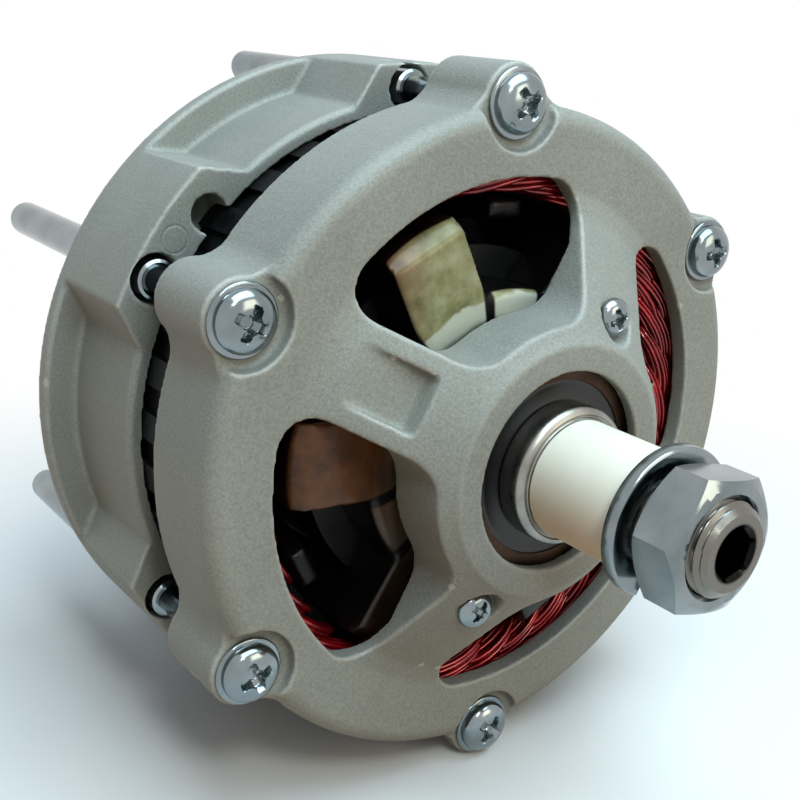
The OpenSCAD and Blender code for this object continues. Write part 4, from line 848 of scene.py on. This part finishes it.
# %% Assign finishes
cast = blasted_cast_aluminium()
finishes = {
    "cast_aluminium": cast,
    "regulator_case": cast,
    "zinc_steel": zinc_plate(),
    "shaft_steel": turned_metal("turned_steel", "#7f7d77", "#a3a19a", 0.28),
    # painted shade and painted brown reflection: the bearing steel in the hub's recess is coloured dark brown
    "bearing_steel": turned_metal("bearing_steel_painted_shade", "#33251d", "#4a382d", 0.34),
    "core_iron": turned_metal("bare_core_iron", "#5c5a57", "#757370", 0.38),
    "diode_metal": turned_metal("nickel_plated_can", "#8f8e88", "#a9a8a2", 0.3),
    "spring_steel": turned_metal("drawn_spring_wire", "#7c7c80", "#9a9a9c", 0.3),
    "plate_aluminium": turned_metal("pressed_aluminium", "#a5a6a9", "#bcbdbf", 0.35),
    "stud_brass": turned_metal("turned_brass", "#b39558", "#cdb277", 0.25),
    "ring_copper": turned_metal("turned_copper", "#a96e4c", "#c78a66", 0.22),
    "pole_steel": varnished_forging_painted_shade(),
    "core_steel": varnished_laminations(),
    "red_copper": enamelled_wire("red_enamelled_wire", [(0.3, "#7d0910"), (0.7, "#c01823")]),
    "coil_copper": enamelled_wire("amber_enamelled_wire", [(0.3, "#3a1c0c"), (0.7, "#5c3015")]),
    "black_plastic": moulded("glass_filled_nylon_black", [(0.3, "#0c0d0e"), (0.7, "#16171a")], 0.45),
    "board_plastic": moulded("phenolic_board", [(0.3, "#1d211f"), (0.7, "#2a302d")], 0.4),
    "seal_rubber": moulded("nitrile_rubber", [(0.3, "#040505"), (0.7, "#0a0b0c")], 0.4),
    "cage_plastic": moulded("polyamide_cage", [(0.3, "#c5b080"), (0.7, "#d6c49a")], 0.4),
    "ivory_plastic": moulded("polyethylene_sleeve", [(0.3, "#ece5d2"), (0.7, "#f4eedf")], 0.42, 2.0, 0.01,
        Subsurface_Weight=0.15, Subsurface_Scale=0.003),
    "epoxy": moulded("cast_epoxy", [(0.3, "#0b0b0c"), (0.7, "#151516")], 0.2),
    "carbon": moulded("pressed_graphite", [(0.3, "#1c1c1e"), (0.7, "#2b2b2d")], 0.5),
}
slot_of = {s["node"]: s["material_slot"] for s in frame["record"]["subparts"]}
for name, thing in nodes.items():
    thing.data.materials.clear()
    thing.data.materials.append(finishes[slot_of[name]])
for thing in bpy.data.objects:
    if thing.get("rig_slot"):
        thing.data.materials.clear()
        thing.data.materials.append(finishes[thing["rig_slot"]])
print("finishes:", len(finishes))

# %% [markdown]
# ## Floor
# A pale floor lies just under the lowest point. Near the object it is an ordinary matt surface that takes the shadow.
# For the camera, and in reflections, it fades to pure white with distance, so that no horizon shows. For light that
# bounces off it, it is a brown bench, which warms the underside of the machine as in the photograph.

# %% Floor
def sees_background(tree):
    """1 for a ray from the camera, a reflection or a pane of glass, and 0 for a ray that carries light."""
    rays = add(tree, "LightPath").outputs
    seen = add(tree, "Math", {"operation": "MAXIMUM"}, _0=rays["Is Camera Ray"], _1=rays["Is Glossy Ray"])
    return add(tree, "Math", {"operation": "MAXIMUM"}, _0=seen, _1=rays["Is Transmission Ray"])


def pale_floor(size=4.0, gap=0.0002, fade=(0.09, 0.24)):
    """A square that reaches size metres each way, fading to white between the two distances."""
    low = cad_box[0][2] - gap
    corners = [(-size, -size, low), (size, -size, low), (size, size, low), (-size, size, low)]
    mesh = bpy.data.meshes.new("floor")
    mesh.from_pydata(corners, [], [(0, 1, 2, 3)])
    floor = link("floor", mesh)
    made, tree, place = new_material("pale_floor")
    distance = add(tree, "VectorMath", {"operation": "LENGTH"}, _0=place).outputs["Value"]
    far = add(tree, "MapRange", {"interpolation_type": "SMOOTHSTEP"}, _0=distance, _1=fade[0], _2=fade[1], _3=0.0,
        _4=1.0)
    bench = add(tree, "BsdfDiffuse", Color=linear("#a57d58"))
    matt = add(tree, "BsdfDiffuse", Color=linear("#f4f3f1"))
    white = add(tree, "Emission", Color=(1, 1, 1, 1), Strength=1.0)
    shown = add(tree, "MixShader", _0=far, _1=matt, _2=white)
    add(tree, "OutputMaterial", Surface=add(tree, "MixShader", _0=sees_background(tree), _1=bench, _2=shown))
    mesh.materials.append(made)
    print("floor at", round(float(low), 4))


pale_floor()

# %% [markdown]
# ## Light
# One large cool softbox overhead makes the upward faces the lightest, as in the photograph; a weak warm lamp fills the
# front, and a small white one puts the bright points on wires and screw heads. The world gives a little light of its
# own, cool from above and brown from below, and shows as white.

# %% World and lamps
def studio_world(level):
    """A world that lights at the given level with a colour that depends on height, and is plain white to look at."""
    world = bpy.data.worlds.new("studio")
    world.use_nodes = True
    tree = world.node_tree
    tree.nodes.clear()
    up = add(tree, "SeparateXYZ", _0=add(tree, "TexCoord").outputs["Generated"]).outputs["Z"]
    share = add(tree, "MapRange", _0=up, _1=-1.0, _2=1.0, _3=0.0, _4=1.0)
    shade = add(tree, "ValToRGB", {"stops": [(0.35, "#7d5c43"), (0.52, "#a8a29a"), (0.85, "#dfeefa")]}, Fac=share)
    lit = add(tree, "Background", Color=shade, Strength=level)
    white = add(tree, "Background", Color=(1, 1, 1, 1), Strength=1.0)
    add(tree, "OutputWorld", Surface=add(tree, "MixShader", _0=sees_background(tree), _1=lit, _2=white))
    bpy.context.scene.world = world


def lamp(name, place, size, watts, code):
    """A square soft lamp at place that looks at the origin."""
    data = bpy.data.lights.new(name, "AREA")
    data.shape, data.size, data.energy, data.color = "SQUARE", size, watts, linear(code)[:3]
    turn = Vector(place).normalized().to_track_quat("Z", "Y").to_matrix().to_4x4()
    link(name, data).matrix_world = Matrix.Translation(place) @ turn


studio_world(level=0.36)
lamp("overhead", (0.03, -0.2, 0.5), size=0.5, watts=4.3, code="#cfe9f6")
lamp("front_fill", (0.35, -0.85, 0.3), size=0.4, watts=1.6, code="#fff3d8")
lamp("small_key", (-0.2, -0.5, 0.45), size=0.1, watts=0.9, code="#f2f8f4")

# %% [markdown]
# ## Camera
# The camera stands where the photograph was taken: 36.6 degrees to the left of the shaft, 19 degrees above it, rolled
# by 1.7 degrees, with a lens of 53 mm on a 36 mm frame.

# %% Camera
CAMERA_PLACE = (-0.1394, -0.2149, 0.0802)


def photo_camera():
    """Three directions at right angles from yaw, pitch and roll make the camera's turn."""
    yaw, pitch, roll = np.radians(36.62), np.radians(19.16), np.radians(1.74)
    ahead = np.array([np.sin(yaw) * np.cos(pitch), np.cos(yaw) * np.cos(pitch), -np.sin(pitch)])
    level = np.array([np.cos(yaw), -np.sin(yaw), 0.0])
    above = np.cross(level, ahead)
    right = np.cos(roll) * level + np.sin(roll) * above
    up = -np.sin(roll) * level + np.cos(roll) * above
    data = bpy.data.cameras.new("camera")
    data.lens, data.sensor_width, data.clip_start = 52.99, 36.0, 0.01
    camera = link("camera", data)
    turn = Matrix([list(row) for row in np.column_stack([right, up, -ahead])]).to_4x4()
    camera.matrix_world = Matrix.Translation(CAMERA_PLACE) @ turn
    bpy.context.scene.camera = camera
    print("camera looks along", np.round(ahead, 3))


photo_camera()
bpy.context.scene.view_settings.view_transform = "Standard"

# %% [markdown]
# ## Sizes
# The dressed machine must not outgrow the frame; the frame's box is written down at the end.

# %% Sizes and finish
print("cad box", [[round(float(v), 4) for v in c] for c in cad_box])
